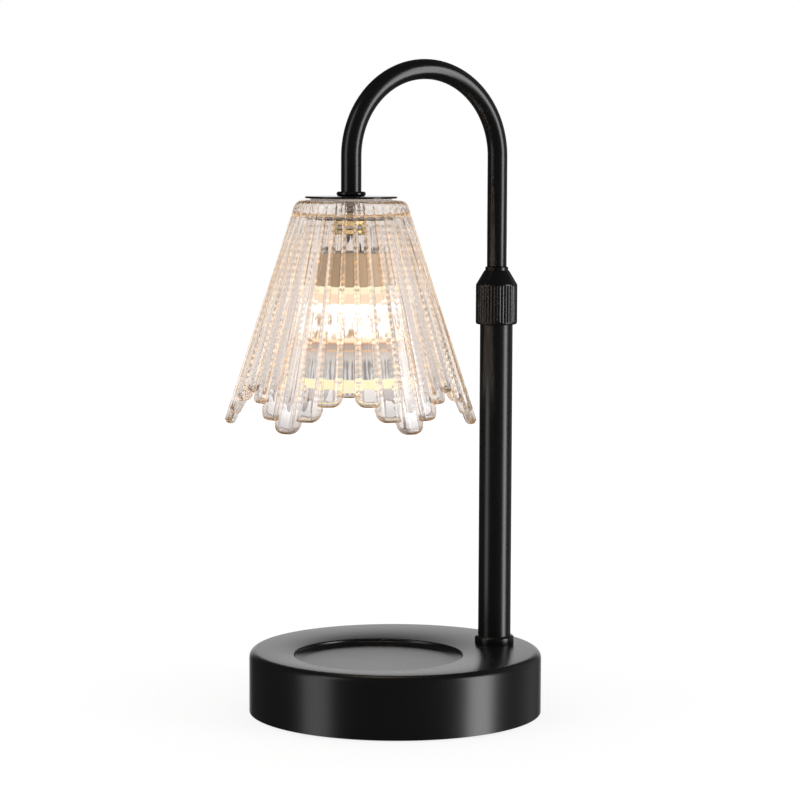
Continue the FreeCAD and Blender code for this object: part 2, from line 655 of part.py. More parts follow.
# ---------------------------------------------------------- gooseneck arm
def arm_path(end_z, leg_bottom_z):
    """Centre line of the arm: leg in the pole, half-circle arch, drop leg over the shade."""
    leg_top = vec(POLE_X, POLE_Y, ARCH_CENTRE_Z)
    drop_top = vec(SHADE_X, SHADE_Y, ARCH_CENTRE_Z)
    crown = vec((POLE_X + SHADE_X) / 2, (POLE_Y + SHADE_Y) / 2, ARCH_CENTRE_Z + ARCH_RADIUS)
    edges = [
        Part.makeLine(vec(POLE_X, POLE_Y, leg_bottom_z), leg_top),
        Part.Arc(leg_top, crown, drop_top).toShape(),
        Part.makeLine(drop_top, vec(SHADE_X, SHADE_Y, end_z)),
    ]
    return Part.Wire(edges)


def make_gooseneck():
    path = arm_path(ARM_END_Z, ARM_LEG_BOTTOM_Z)
    start = vec(POLE_X, POLE_Y, ARM_LEG_BOTTOM_Z)
    outside = swept(path, start, UP, ARM_RADIUS)
    return outside.cut(swept(path, start, UP, ARM_BORE_RADIUS))


def make_arm_lead():
    low_z = BUSH_BOTTOM_Z - ARM_LEAD_TAIL
    path = arm_path(ARM_END_Z - ARM_THREAD_TAIL, low_z)
    return swept(path, vec(POLE_X, POLE_Y, low_z), UP, ARM_LEAD_RADIUS)


def make_guide_bush():
    shoulder_bore = ARM_LEAD_RADIUS + TOUCH_CLEARANCE
    top_z = BUSH_BOTTOM_Z + BUSH_LENGTH
    points = [
        (shoulder_bore, BUSH_BOTTOM_Z),
        (BUSH_RADIUS, BUSH_BOTTOM_Z),
        (BUSH_RADIUS, top_z),
        (ARM_RADIUS, top_z),
        (ARM_RADIUS, ARM_LEG_BOTTOM_Z),
        (shoulder_bore, ARM_LEG_BOTTOM_Z),
    ]
    return turned(POLE_AXIS, outline(points))


# ---------------------------------------------------------- shade and its clamp
def make_stop_ring():
    bead_radius = STOP_RING_HEIGHT / 2
    top_z = CAP_TOP_Z + STOP_RING_HEIGHT
    bead_centre = STOP_RING_RADIUS - bead_radius
    edges = [
        line((ARM_RADIUS, top_z), (ARM_RADIUS, CAP_TOP_Z)),
        line((ARM_RADIUS, CAP_TOP_Z), (bead_centre, CAP_TOP_Z)),
        arc((bead_centre, CAP_TOP_Z), (STOP_RING_RADIUS, CAP_TOP_Z + bead_radius), (bead_centre, top_z)),
        line((bead_centre, top_z), (ARM_RADIUS, top_z)),
    ]
    return turned(SHADE_AXIS, edges)


def make_cap_disc():
    return ring(SHADE_AXIS, CAP_RADIUS, STACK_HOLE_RADIUS, UPPER_GASKET_TOP_Z, CAP_TOP_Z)


def make_upper_gasket():
    return ring(SHADE_AXIS, CAP_RADIUS - GASKET_INSET, STACK_HOLE_RADIUS, SHADE_TOP_Z, UPPER_GASKET_TOP_Z)


def make_lower_gasket():
    radius = CLAMP_PLATE_RADIUS - GASKET_INSET
    return ring(SHADE_AXIS, radius, STACK_HOLE_RADIUS, CLAMP_PLATE_TOP_Z, SHADE_CEILING_Z)


def make_clamp_plate():
    return ring(SHADE_AXIS, CLAMP_PLATE_RADIUS, STACK_HOLE_RADIUS, SHADE_NUT_TOP_Z, CLAMP_PLATE_TOP_Z)


def arm_nut(top_z):
    """Hex nut on the arm's threaded end."""
    bar = hex_bar(SHADE_AXIS, ARM_NUT_FLATS, top_z - ARM_NUT_HEIGHT, top_z)
    return bar.cut(cylinder(SHADE_AXIS, ARM_RADIUS, top_z - ARM_NUT_HEIGHT - OUT_PAST, top_z + OUT_PAST))


def shade_radius(z):
    """Outer radius of the glass over a rod's crest."""
    return SHADE_TOP_RADIUS + SHADE_SLOPE * (SHADE_TOP_Z - z)


def fluted_wire(z):
    """Section of the glass: one round flute to each rod."""
    rods = PETAL_COUNT * RODS_PER_PETAL
    crest = shade_radius(z)
    groove = crest * (1 - FLUTE_DEPTH / SHADE_RIM_RADIUS)
    half_pitch = math.pi / rods
    arcs = []
    for index in range(rods):
        middle = 2 * half_pitch * index - math.pi / 2
        ends = []
        for radius, turn in ((groove, -half_pitch), (crest, 0), (groove, half_pitch)):
            angle = middle + turn
            ends.append(vec(radius * math.cos(angle), radius * math.sin(angle), z))
        arcs.append(Part.Arc(*ends).toShape())
    return Part.Wire(arcs)


def rod_end_z(index):
    """Height of a rod's lower end: the rods step down from a petal's edge to its tip."""
    from_edge = index % RODS_PER_PETAL
    from_tip = abs(from_edge - RODS_PER_PETAL // 2)
    steps = (PETAL_STEP_1, PETAL_STEP_2, PETAL_STEP_3)
    return SHADE_TIP_Z + sum(steps[:from_tip])


def rod_end_cut(index):
    """Space below one rod's end, whose lower corners are rounded."""
    pitch = 360.0 / (PETAL_COUNT * RODS_PER_PETAL)
    low_z = SHADE_TIP_Z - OUT_PAST
    end_z = rod_end_z(index)
    height = end_z + ROD_END_ROUND - low_z
    wedge = Part.makeCylinder(SHADE_CLEAR_RADIUS, height, vec(0, 0, low_z), UP, pitch)
    wedge.rotate(vec(0, 0, 0), UP, -pitch / 2)
    half_width = SHADE_RIM_RADIUS * math.sin(math.radians(pitch / 2))
    corner = vec(0, -half_width, end_z)
    rod = Part.makeBox(SHADE_CLEAR_RADIUS, 2 * half_width, 2 * ROD_END_ROUND, corner)
    low_edges = []
    for edge in rod.Edges:
        flat = abs(edge.BoundBox.ZMax - end_z) < ROD_END_ROUND
        if flat and edge.BoundBox.XLength > half_width:
            low_edges.append(edge)
    rod = rod.makeFillet(ROD_END_ROUND, low_edges)
    space = wedge.cut(rod)
    space.rotate(vec(0, 0, 0), UP, pitch * index - 90)
    return space


def make_glass_shade():
    glass = Part.makeLoft([fluted_wire(SHADE_TIP_Z), fluted_wire(SHADE_TOP_Z)], True, True)
    round_centre_z = SHADE_TOP_Z - SHADE_SHOULDER_ROUND
    half_flute = FLUTE_DEPTH / 2 * SHADE_TOP_RADIUS / SHADE_RIM_RADIUS
    round_setback = SHADE_SHOULDER_ROUND * math.hypot(1, SHADE_SLOPE)
    round_centre = (shade_radius(round_centre_z) - half_flute - round_setback, round_centre_z)
    tangent_angle = math.degrees(math.atan(SHADE_SLOPE))
    middle_angle = (tangent_angle + 90) / 2
    shoulder = on_circle(round_centre, SHADE_SHOULDER_ROUND, tangent_angle)
    round_middle = on_circle(round_centre, SHADE_SHOULDER_ROUND, middle_angle)
    low_z = SHADE_TIP_Z - OUT_PAST
    envelope = [
        line((0, SHADE_TOP_Z), (0, low_z)),
        line((0, low_z), (SHADE_CLEAR_RADIUS, low_z)),
        line((SHADE_CLEAR_RADIUS, low_z), (SHADE_CLEAR_RADIUS, shoulder[1])),
        line((SHADE_CLEAR_RADIUS, shoulder[1]), shoulder),
        arc(shoulder, round_middle, (round_centre[0], SHADE_TOP_Z)),
        line((round_centre[0], SHADE_TOP_Z), (0, SHADE_TOP_Z)),
    ]
    glass = glass.common(turned(BASE_AXIS, envelope))
    inner_low = shade_radius(low_z) - SHADE_WALL
    inner_high = shade_radius(SHADE_CEILING_Z) - SHADE_WALL
    glass = glass.cut(cone(BASE_AXIS, inner_low, inner_high, low_z, SHADE_CEILING_Z))
    hole_radius = ARM_RADIUS + SHADE_HOLE_CLEARANCE
    glass = glass.cut(cylinder(BASE_AXIS, hole_radius, SHADE_CEILING_Z - OUT_PAST, SHADE_TOP_Z + OUT_PAST))
    for index in range(PETAL_COUNT * RODS_PER_PETAL):
        glass = glass.cut(rod_end_cut(index))
    glass.translate(vec(SHADE_X, SHADE_Y, 0))
    return glass


# ---------------------------------------------------------- lamp holder
def holder_screw_axes():
    """The two screws that carry the holder, left and right of the shade's axis."""
    return [(SHADE_X + side * HOLDER_SCREW_SPACING / 2, SHADE_Y) for side in (-1, 1)]


def make_socket_bracket():
    foot_top_z = HOLDER_TOP_Z + BRACKET_THICKNESS
    bracket = block(SHADE_AXIS, 2 * BRACKET_HALF_SPAN, BRACKET_WIDTH, BRACKET_NUT_TOP_Z, BRACKET_TOP_Z)
    bracket = bracket.cut(cylinder(SHADE_AXIS, STACK_HOLE_RADIUS, HOLDER_TOP_Z, BRACKET_TOP_Z + OUT_PAST))
    for side in (-1, 1):
        leg_x = SHADE_X + side * (BRACKET_HALF_SPAN - BRACKET_THICKNESS / 2)
        leg = block((leg_x, SHADE_Y), BRACKET_THICKNESS, BRACKET_WIDTH, HOLDER_TOP_Z, BRACKET_TOP_Z)
        foot_x = SHADE_X + side * (BRACKET_HALF_SPAN + BRACKET_FOOT / 2)
        foot = block((foot_x, SHADE_Y), BRACKET_FOOT, BRACKET_WIDTH, HOLDER_TOP_Z, foot_top_z)
        bracket = bracket.fuse(leg).fuse(foot)
    bracket = bracket.removeSplitter()
    hole_radius = HOLDER_SCREW_RADIUS + BOLT_CLEARANCE
    for axis in holder_screw_axes():
        hole = cylinder(axis, hole_radius, HOLDER_TOP_Z - OUT_PAST, foot_top_z + OUT_PAST)
        bracket = bracket.cut(hole)
    return bracket


def make_socket_screws():
    screws = []
    head_z = HOLDER_TOP_Z + BRACKET_THICKNESS
    for axis in holder_screw_axes():
        shank = cylinder(axis, HOLDER_SCREW_RADIUS, HOLDER_TOP_Z - HOLDER_SCREW_DEPTH, head_z)
        head = cylinder(axis, HOLDER_SCREW_HEAD_RADIUS, head_z, head_z + HOLDER_SCREW_HEAD_HEIGHT)
        screws.append(shank.fuse(head).removeSplitter())
    return Part.makeCompound(screws)


def pin_slot(half_width, z_low, z_high, side):
    """Curved slot that a bulb pin turns in, from its locked place to its entry hole."""
    inner = PIN_CIRCLE_RADIUS - half_width
    outer = PIN_CIRCLE_RADIUS + half_width
    points = [(inner, z_low), (outer, z_low), (outer, z_high), (inner, z_high)]
    slot = Part.Face(Part.Wire(outline(points))).revolve(vec(0, 0, 0), UP, -TWIST_ANGLE)
    for angle in (0, -TWIST_ANGLE):
        end = cylinder((PIN_CIRCLE_RADIUS, 0), half_width, z_low, z_high)
        end.rotate(vec(0, 0, 0), UP, angle)
        slot = slot.fuse(end)
    if side < 0:
        slot.rotate(vec(0, 0, 0), UP, 180)
    slot.translate(vec(SHADE_X, SHADE_Y, 0))
    return slot


def make_lamp_holder():
    holder = cone(SHADE_AXIS, HOLDER_BOTTOM_RADIUS, HOLDER_TOP_RADIUS, HOLDER_BOTTOM_Z, HOLDER_TOP_Z)
    mouth_z = HOLDER_BOTTOM_Z - OUT_PAST
    holder = holder.cut(cylinder(SHADE_AXIS, HOLDER_POCKET_RADIUS, mouth_z, POCKET_CEILING_Z))
    slot_mouth_z = POCKET_CEILING_Z - OUT_PAST
    head_room = PIN_HEAD_RADIUS + PIN_CLEARANCE
    neck_room = PIN_NECK_RADIUS + PIN_CLEARANCE
    for side in (-1, 1):
        holder = holder.cut(pin_slot(neck_room, slot_mouth_z, HEAD_CAVITY_Z, side))
        holder = holder.cut(pin_slot(head_room, HEAD_CAVITY_Z, HEAD_CAVITY_TOP_Z, side))
        entry = cylinder((side * PIN_CIRCLE_RADIUS, 0), head_room, slot_mouth_z, HEAD_CAVITY_TOP_Z)
        entry.rotate(vec(0, 0, 0), UP, -TWIST_ANGLE)
        entry.translate(vec(SHADE_X, SHADE_Y, 0))
        holder = holder.cut(entry)
        wire_axis = (SHADE_X + side * WIRE_ENTRY_OFFSET, SHADE_Y)
        holder = holder.cut(cylinder(wire_axis, WIRE_HOLE_RADIUS, PIN_TOP_Z, HOLDER_TOP_Z + OUT_PAST))
    for axis in holder_screw_axes():
        thread_z = HOLDER_TOP_Z - HOLDER_SCREW_DEPTH
        holder = holder.cut(cylinder(axis, HOLDER_SCREW_RADIUS, thread_z, HOLDER_TOP_Z + OUT_PAST))
    return holder


def make_holder_contacts():
    low_z = HEAD_CAVITY_TOP_Z - CONTACT_THICKNESS
    contacts = []
    for side in (-1, 1):
        axis = (SHADE_X + side * PIN_CIRCLE_RADIUS, SHADE_Y)
        contacts.append(block(axis, CONTACT_LENGTH, CONTACT_WIDTH, low_z, HEAD_CAVITY_TOP_Z))
    return Part.makeCompound(contacts)


def holder_wire(side):
    """One insulated wire from the arm's lower end into the holder."""
    start_z = ARM_END_Z - ARM_THREAD_TAIL
    straight_z = HOLDER_TOP_Z + WIRE_STRAIGHT
    start_x = SHADE_X + side * WIRE_START_OFFSET
    entry_x = SHADE_X + side * WIRE_ENTRY_OFFSET
    points = [
        vec(start_x, SHADE_Y, start_z),
        vec(start_x, SHADE_Y, start_z - WIRE_RADIUS),
        vec(entry_x, SHADE_Y, straight_z),
        vec(entry_x, SHADE_Y, HEAD_CAVITY_TOP_Z),
    ]
    return routed_bar(points, WIRE_RADIUS)


# ---------------------------------------------------------- bulb
def make_bulb_base():
    radius = HOLDER_POCKET_RADIUS - CAP_SIDE_CLEARANCE
    return cylinder(SHADE_AXIS, radius, BULB_CAP_BOTTOM_Z, BULB_CAP_TOP_Z)


def make_bulb_pins():
    pins = []
    for side in (-1, 1):
        axis = (SHADE_X + side * PIN_CIRCLE_RADIUS, SHADE_Y)
        neck = cylinder(axis, PIN_NECK_RADIUS, BULB_CAP_TOP_Z, PIN_HEAD_Z)
        head = cylinder(axis, PIN_HEAD_RADIUS, PIN_HEAD_Z, PIN_TOP_Z)
        pins.append(neck.fuse(head).removeSplitter())
    return Part.makeCompound(pins)


def make_bulb_reflector():
    top_z = BULB_CAP_BOTTOM_Z
    shoulder = (BULB_SHOULDER_RADIUS, top_z - BULB_SHOULDER_DROP)
    middle = (BULB_MIDDLE_RADIUS, top_z - BULB_MIDDLE_DROP)
    front = (BULB_FRONT_RADIUS, BOWL_FRONT_Z)
    inner_shoulder = (shoulder[0] - BULB_WALL, shoulder[1] - BULB_WALL)
    inner_middle = (middle[0] - BULB_WALL, middle[1])
    inner_front = (front[0] - BULB_WALL, BOWL_FRONT_Z)
    lens_top_z = LENS_Z + LENS_THICKNESS
    edges = [
        line((BULB_BACK_HOLE_RADIUS, top_z), (BULB_SHOULDER_RADIUS - BULB_SHOULDER_DROP, top_z)),
        line((BULB_SHOULDER_RADIUS - BULB_SHOULDER_DROP, top_z), shoulder),
        arc(shoulder, middle, front),
        line(front, (BULB_FRONT_RADIUS, BULB_FRONT_Z)),
        line((BULB_FRONT_RADIUS, BULB_FRONT_Z), (LENS_RADIUS, BULB_FRONT_Z)),
        line((LENS_RADIUS, BULB_FRONT_Z), (LENS_RADIUS, lens_top_z)),
        line((LENS_RADIUS, lens_top_z), (inner_front[0], lens_top_z)),
        line((inner_front[0], lens_top_z), inner_front),
        arc(inner_front, inner_middle, inner_shoulder),
        line(inner_shoulder, (BULB_BACK_HOLE_RADIUS, inner_shoulder[1])),
        line((BULB_BACK_HOLE_RADIUS, inner_shoulder[1]), (BULB_BACK_HOLE_RADIUS, top_z)),
    ]
    return turned(SHADE_AXIS, edges)


def make_bulb_lens():
    return cylinder(SHADE_AXIS, LENS_RADIUS, LENS_Z, LENS_Z + LENS_THICKNESS)


def capsule_shape(shrink):
    """Capsule with a round lower end, smaller all round by the given amount."""
    top_z = BULB_CAP_BOTTOM_Z - PINCH_LENGTH
    radius = CAPSULE_RADIUS - shrink
    low_z = top_z - CAPSULE_LENGTH + shrink
    body = cylinder(SHADE_AXIS, radius, low_z + radius, top_z - shrink)
    tip = Part.makeSphere(radius, vec(SHADE_X, SHADE_Y, low_z + radius))
    return body.fuse(tip).removeSplitter()


def make_bulb_capsule():
    pinch = cylinder(SHADE_AXIS, PINCH_RADIUS, BULB_CAP_BOTTOM_Z - PINCH_LENGTH, BULB_CAP_BOTTOM_Z)
    return capsule_shape(0).fuse(pinch).removeSplitter().cut(capsule_shape(CAPSULE_WALL))


def make_bulb_filament():
    top_z = BULB_CAP_BOTTOM_Z - PINCH_LENGTH - CAPSULE_WALL
    coil_top_z = top_z - FILAMENT_LEAD_LENGTH
    filament = cylinder(SHADE_AXIS, FILAMENT_RADIUS, coil_top_z - FILAMENT_LENGTH, coil_top_z)
    for side in (-1, 1):
        axis = (SHADE_X + side * FILAMENT_RADIUS / 2, SHADE_Y)
        filament = filament.fuse(cylinder(axis, FILAMENT_LEAD_RADIUS, coil_top_z - FILAMENT_RADIUS, top_z))
    return filament.removeSplitter()


# ---------------------------------------------------------- all pieces, one file each
PIECES = {
    "base_shell": make_base_shell(),
    "base_posts": make_base_posts(),
    "base_weight": make_base_weight(),
    "base_plate": make_base_plate(),
    "base_screws": make_base_screws(),
    "base_pad": make_base_pad(),
    "cord_grommet": make_cord_grommet(),
    "terminal_block": make_terminal_block(),
    "terminal_screws": make_terminal_screws(),
    "base_lead": make_base_lead(),
    "foot_collar": make_foot_collar(),
    "outer_tube": make_outer_tube(),
    "tube_plug": make_tube_plug(),
    "foot_nipple": make_foot_nipple(),
    "foot_washer": make_foot_washer(),
    "foot_nut": make_foot_nut(),
    "tube_head": make_tube_head(),
    "clamp_collet": make_clamp_collet(),
    "clamp_nut": make_clamp_nut(),
    "gooseneck": make_gooseneck(),
    "guide_bush": make_guide_bush(),
    "arm_lead": make_arm_lead(),
    "stop_ring": make_stop_ring(),
    "cap_disc": make_cap_disc(),
    "upper_gasket": make_upper_gasket(),
    "glass_shade": make_glass_shade(),
    "lower_gasket": make_lower_gasket(),
    "clamp_plate": make_clamp_plate(),
    "shade_nut": arm_nut(SHADE_NUT_TOP_Z),
    "socket_bracket": make_socket_bracket(),
    "bracket_nut": arm_nut(BRACKET_NUT_TOP_Z),
    "socket_screws": make_socket_screws(),
    "lamp_holder": make_lamp_holder(),
    "holder_contacts": make_holder_contacts(),
    "blue_wire": holder_wire(-1),
    "brown_wire": holder_wire(1),
    "bulb_base": make_bulb_base(),
    "bulb_pins": make_bulb_pins(),
    "bulb_reflector": make_bulb_reflector(),
    "bulb_lens": make_bulb_lens(),
    "bulb_capsule": make_bulb_capsule(),
    "bulb_filament": make_bulb_filament(),
}

os.makedirs("parts", exist_ok=True)
for name, shape in PIECES.items():
    shape.exportStep("parts/" + name + ".step")
    print(name, "solids", len(shape.Solids), "valid", shape.isValid(), "volume", round(shape.Volume, 1))
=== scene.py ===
import math

import bmesh
import bpy
from mathutils import Matrix, Vector


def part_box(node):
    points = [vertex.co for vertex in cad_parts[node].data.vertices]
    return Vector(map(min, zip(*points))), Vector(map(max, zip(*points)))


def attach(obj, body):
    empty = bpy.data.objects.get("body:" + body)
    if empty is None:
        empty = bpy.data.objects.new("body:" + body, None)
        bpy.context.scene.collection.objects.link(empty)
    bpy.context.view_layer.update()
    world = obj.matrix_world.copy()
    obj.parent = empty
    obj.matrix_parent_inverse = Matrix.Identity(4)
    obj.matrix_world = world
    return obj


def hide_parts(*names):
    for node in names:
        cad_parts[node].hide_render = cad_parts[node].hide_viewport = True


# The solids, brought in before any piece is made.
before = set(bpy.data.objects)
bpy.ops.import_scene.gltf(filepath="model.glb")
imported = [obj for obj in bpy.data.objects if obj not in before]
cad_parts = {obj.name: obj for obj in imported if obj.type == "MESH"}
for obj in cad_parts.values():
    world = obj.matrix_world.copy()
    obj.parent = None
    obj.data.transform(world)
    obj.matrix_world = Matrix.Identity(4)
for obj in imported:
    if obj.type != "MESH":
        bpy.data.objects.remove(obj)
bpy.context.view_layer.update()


# ---------------------------------------------------------------- camera
# A long lens about 1.3 m in front of the lamp, near the height of the shade's
# top and looking a little down.
def put_in_scene(name, data):
    """An object in the scene that shows this data."""
    placed = bpy.data.objects.new(name, data)
    bpy.context.scene.collection.objects.link(placed)
    return placed


LENS = 122.16
SENSOR_WIDTH = 36.0
CAMERA_PLACE = (0.00187, -1.28633, 0.27235)
LOOK_DOWN = 0.0947
CAMERA_LEAN = 0.0035
camera_data = bpy.data.cameras.new("camera")
camera_data.sensor_width = SENSOR_WIDTH
camera_data.lens = LENS
camera = put_in_scene("camera", camera_data)
looking = Matrix.Rotation(math.pi / 2 - LOOK_DOWN, 4, "X")
leaning = Matrix.Rotation(CAMERA_LEAN, 4, "Z")
camera.matrix_world = Matrix.Translation(CAMERA_PLACE) @ (looking @ leaning)
bpy.context.scene.camera = camera
bpy.context.scene.view_settings.view_transform = "Standard"


# ------------------------------------------------------- floor and studio
# A pale table top that keeps a faint shadow, a white sweep behind the lamp, and
# two tall softboxes: a narrow bright one on the right, a broad weak one on the left.
class Wire:
    """A node's output. Sums written with it add Math nodes."""

    def __init__(self, recipe, socket):
        self.recipe = recipe
        self.socket = socket

    def maths(self, operation, *terms):
        """A Math node on this value and the others."""
        sockets = dict(enumerate((self,) + terms))
        return self.recipe.add("Math", {"operation": operation}, sockets)["Value"]

    def __add__(self, other):
        return self.maths("ADD", other)

    def __sub__(self, other):
        return self.maths("SUBTRACT", other)

    def __mul__(self, other):
        return self.maths("MULTIPLY", other)

    def __truediv__(self, other):
        return self.maths("DIVIDE", other)

    def __rsub__(self, other):
        return (self * -1.0) + other

    __radd__ = __add__
    __rmul__ = __mul__

    def climb(self, start, end):
        """0 up to start, 1 from end on, and a smooth rise between them."""
        settings = {"interpolation_type": "SMOOTHSTEP"}
        sockets = {"Value": self, "From Min": start, "From Max": end}
        return self.recipe.add("MapRange", settings, sockets)["Result"]

    def fall(self, start, end):
        """1 up to start, 0 from end on, and a smooth drop between them."""
        return 1.0 - self.climb(start, end)

    def band(self, start, full, fading, end):
        """0 outside start and end, 1 from full to fading, and smooth between."""
        return self.climb(start, full) * self.fall(fading, end)


class Recipe:
    """The nodes of one material or world, added one after another."""

    def __init__(self, owner):
        owner.use_nodes = True
        self.owner = owner
        self.tree = owner.node_tree
        self.tree.nodes.clear()

    def add(self, kind, settings=None, sockets=None):
        """A node of this kind, with its settings and the values or links of its sockets."""
        node = self.tree.nodes.new("ShaderNode" + kind)
        for name, value in (settings or {}).items():
            if name == "stops":
                while len(node.color_ramp.elements) < len(value):
                    node.color_ramp.elements.new(1.0)
                for element, (position, colour) in zip(node.color_ramp.elements, value):
                    element.position = position
                    element.color = rgba(colour)
            else:
                setattr(node, name, value)
        for name, value in (sockets or {}).items():
            if isinstance(value, Wire):
                self.tree.links.new(value.socket, node.inputs[name])
            else:
                node.inputs[name].default_value = value
        return Outputs(self, node)

    def blend(self, share, low, high):
        """One colour turning into another as share goes from 0 to 1."""
        sockets = {0: share, 6: rgba(low), 7: rgba(high)}
        outputs = self.add("Mix", {"data_type": "RGBA"}, sockets)
        return Wire(self, outputs.node.outputs[2])

    def noise(self, place, scale, detail):
        """Soft mottling between 0 and 1."""
        sockets = {"Vector": place, "Scale": scale, "Detail": detail}
        return self.add("TexNoise", None, sockets)["Fac"]

    def point(self, x, y, z):
        """Three values as one place for a pattern to read."""
        return self.add("CombineXYZ", None, {"X": x, "Y": y, "Z": z})["Vector"]

    def bump(self, relief, strength, depth):
        """The surface's normal, tipped by a relief."""
        sockets = {"Height": relief, "Strength": strength, "Distance": depth}
        return self.add("Bump", None, sockets)["Normal"]

    def mixed(self, share, low, high):
        """One shader turning into another as share goes from 0 to 1."""
        return self.add("MixShader", None, {0: share, 1: low, 2: high})["Shader"]

    def finish(self, shader):
        """Sends the shader to the output, and gives back the material or world."""
        kind = "OutputWorld" if isinstance(self.owner, bpy.types.World) else "OutputMaterial"
        self.add(kind, None, {"Surface": shader})
        return self.owner

    def surface(self, sockets):
        """Finishes with the standard shader, whose sockets are given."""
        return self.finish(self.add("BsdfPrincipled", None, sockets)["BSDF"])


class Outputs:
    """The outputs of one node, by name."""

    def __init__(self, recipe, node):
        self.recipe = recipe
        self.node = node

    def __getitem__(self, name):
        return Wire(self.recipe, self.node.outputs[name])


def rgba(colour):
    """A plain colour with its alpha. A wired one stays as it is."""
    return colour if isinstance(colour, Wire) else tuple(colour) + (1.0,)


def new_material(name):
    """A new material's recipe, and the place on the piece that its patterns read."""
    recipe = Recipe(bpy.data.materials.new(name))
    return recipe, recipe.add("TexCoord")["Object"]


WHITE = (1.0, 1.0, 1.0)
FLOOR_RADIUS = 6.0
FLOOR_WHITE = (0.9, 0.9, 0.9)
FLOOR_GLOW = 1.08
SHADOW_SHARE = 0.22
THROUGH_GLASS_SHADE = 0.4
floor_mesh = bmesh.new()
bmesh.ops.create_circle(floor_mesh, cap_ends=True, segments=64, radius=FLOOR_RADIUS)
floor_data = bpy.data.meshes.new("floor")
floor_mesh.to_mesh(floor_data)
floor_mesh.free()
floor = put_in_scene("floor", floor_data)
floor_paint, floor_place = new_material("floor_white")
floor_rays = floor_paint.add("LightPath")
from_lamp = floor_paint.add("VectorMath", {"operation": "LENGTH"}, {0: floor_place})["Value"]
through_glass = floor_rays["Is Transmission Ray"]
seen_plainly = floor_rays["Is Camera Ray"].maths("MAXIMUM", through_glass)
own_white = seen_plainly * (1.0 - from_lamp.fall(0.08, 0.5) * SHADOW_SHARE)
# Seen through the glass, the floor near the lamp is painted grey: painted shade that stands in
# for the dark base the glass bends into view.
painted_shade_through_glass = through_glass * from_lamp.fall(0.15, 0.40)
floor_seen = floor_paint.blend(painted_shade_through_glass, WHITE, (THROUGH_GLASS_SHADE,) * 3)
floor_diffuse = floor_paint.add("BsdfDiffuse", None, {"Color": rgba(FLOOR_WHITE)})["BSDF"]
glow_sockets = {"Color": floor_seen, "Strength": FLOOR_GLOW}
floor_glow = floor_paint.add("Emission", None, glow_sockets)["Emission"]
floor_mixed = floor_paint.mixed(own_white, floor_diffuse, floor_glow)
floor_data.materials.append(floor_paint.finish(floor_mixed))
floor.visible_glossy = False
floor.visible_shadow = False

ROOM_LEVEL = 0.62
DARK_FRONT = 0.05
RIGHT_WALL = 0.30
SWEEP_LEVEL = 1.05
CEILING_GREY = 0.3
sweep = Recipe(bpy.data.worlds.new("studio"))
bpy.context.scene.world = sweep.owner
world_rays = sweep.add("LightPath")
direction = sweep.add("TexCoord")["Generated"]
compass = sweep.add("SeparateXYZ", None, {0: direction})
sweep_share = compass["Y"].climb(0.90, 0.98)
right_wall = compass["X"].climb(0.35, 0.80) * compass["Y"].climb(0.15, 0.75)
dark_room = sweep.blend(right_wall, (DARK_FRONT,) * 3, (RIGHT_WALL,) * 3)
mirror_colour = sweep.blend(sweep_share, dark_room, (SWEEP_LEVEL,) * 3)
room_colour = sweep.blend(world_rays["Is Glossy Ray"], (ROOM_LEVEL,) * 3, mirror_colour)
seen_white = world_rays["Is Camera Ray"].maths("MAXIMUM", world_rays["Is Transmission Ray"])
overhead = compass["Z"].climb(0.45, 0.85) * (1.0 - world_rays["Is Camera Ray"])
white_walls = sweep.blend(overhead, WHITE, (CEILING_GREY,) * 3)
world_colour = sweep.blend(seen_white, room_colour, white_walls)
world_sockets = {"Color": world_colour, "Strength": 1.0}
sweep.finish(sweep.add("Background", None, world_sockets)["Background"])

BOX_DISTANCE = 2.4
BOX_AIM = Vector((0.0, 0.0, 0.2))
POWER_PER_RADIANCE = 4.0


def softbox(name, bearing, width, height, middle_z, radiance):
    """A tall softbox at a bearing from the front, facing the lamp."""
    data = bpy.data.lights.new(name, "AREA")
    data.shape = "RECTANGLE"
    data.size = width
    data.size_y = height
    data.energy = POWER_PER_RADIANCE * radiance * width * height
    turn = math.radians(bearing)
    place = Vector((math.sin(turn), -math.cos(turn), 0.0)) * BOX_DISTANCE
    place.z = middle_z
    facing = Vector((BOX_AIM.x - place.x, BOX_AIM.y - place.y, 0.0))
    aimed = facing.to_track_quat("-Z", "Y").to_matrix().to_4x4()
    put_in_scene(name, data).matrix_world = Matrix.Translation(place) @ aimed


softbox("softbox_right", bearing=69.0, width=0.95, height=2.6, middle_z=0.10, radiance=4.7)
softbox("softbox_left", bearing=-63.0, width=1.00, height=4.2, middle_z=0.62, radiance=1.35)


# -------------------------------------------------------------- base shell
# A drum deep-drawn from 1.2 mm sheet steel with a rolled upper edge, a shallow
# round recess for the jar, and satin black powder coat.
def corners_in(parts):
    """The corners among these parts of a mesh."""
    return [part for part in parts if isinstance(part, bmesh.types.BMVert)]


def edges_in(parts):
    """The edges among these parts of a mesh."""
    return [part for part in parts if isinstance(part, bmesh.types.BMEdge)]


def loop_of(parts, corners):
    """The edges among parts that run between these corners."""
    ends = set(corners)
    return [edge for edge in edges_in(parts) if ends.issuperset(edge.verts)]


def circles(mesh, rings, segments):
    """Circles of (centre x, centre y, radius, z), each drawn out of the one before it."""
    x, y, radius, z = rings[0]
    moved = bmesh.ops.create_circle(mesh, segments=segments, radius=radius)["verts"]
    bmesh.ops.translate(mesh, verts=moved, vec=(x, y, z))
    loops = [loop_of(mesh.edges, moved)]
    for ring in rings[1:]:
        grown = bmesh.ops.extrude_edge_only(mesh, edges=loops[-1])["geom"]
        moved = corners_in(grown)
        loops.append(loop_of(grown, moved))
        bmesh.ops.translate(mesh, verts=moved, vec=(-x, -y, -z))
        wider = ring[2] / radius
        bmesh.ops.scale(mesh, verts=moved, vec=(wider, wider, 1.0))
        x, y, radius, z = ring
        bmesh.ops.translate(mesh, verts=moved, vec=(x, y, z))
    return loops


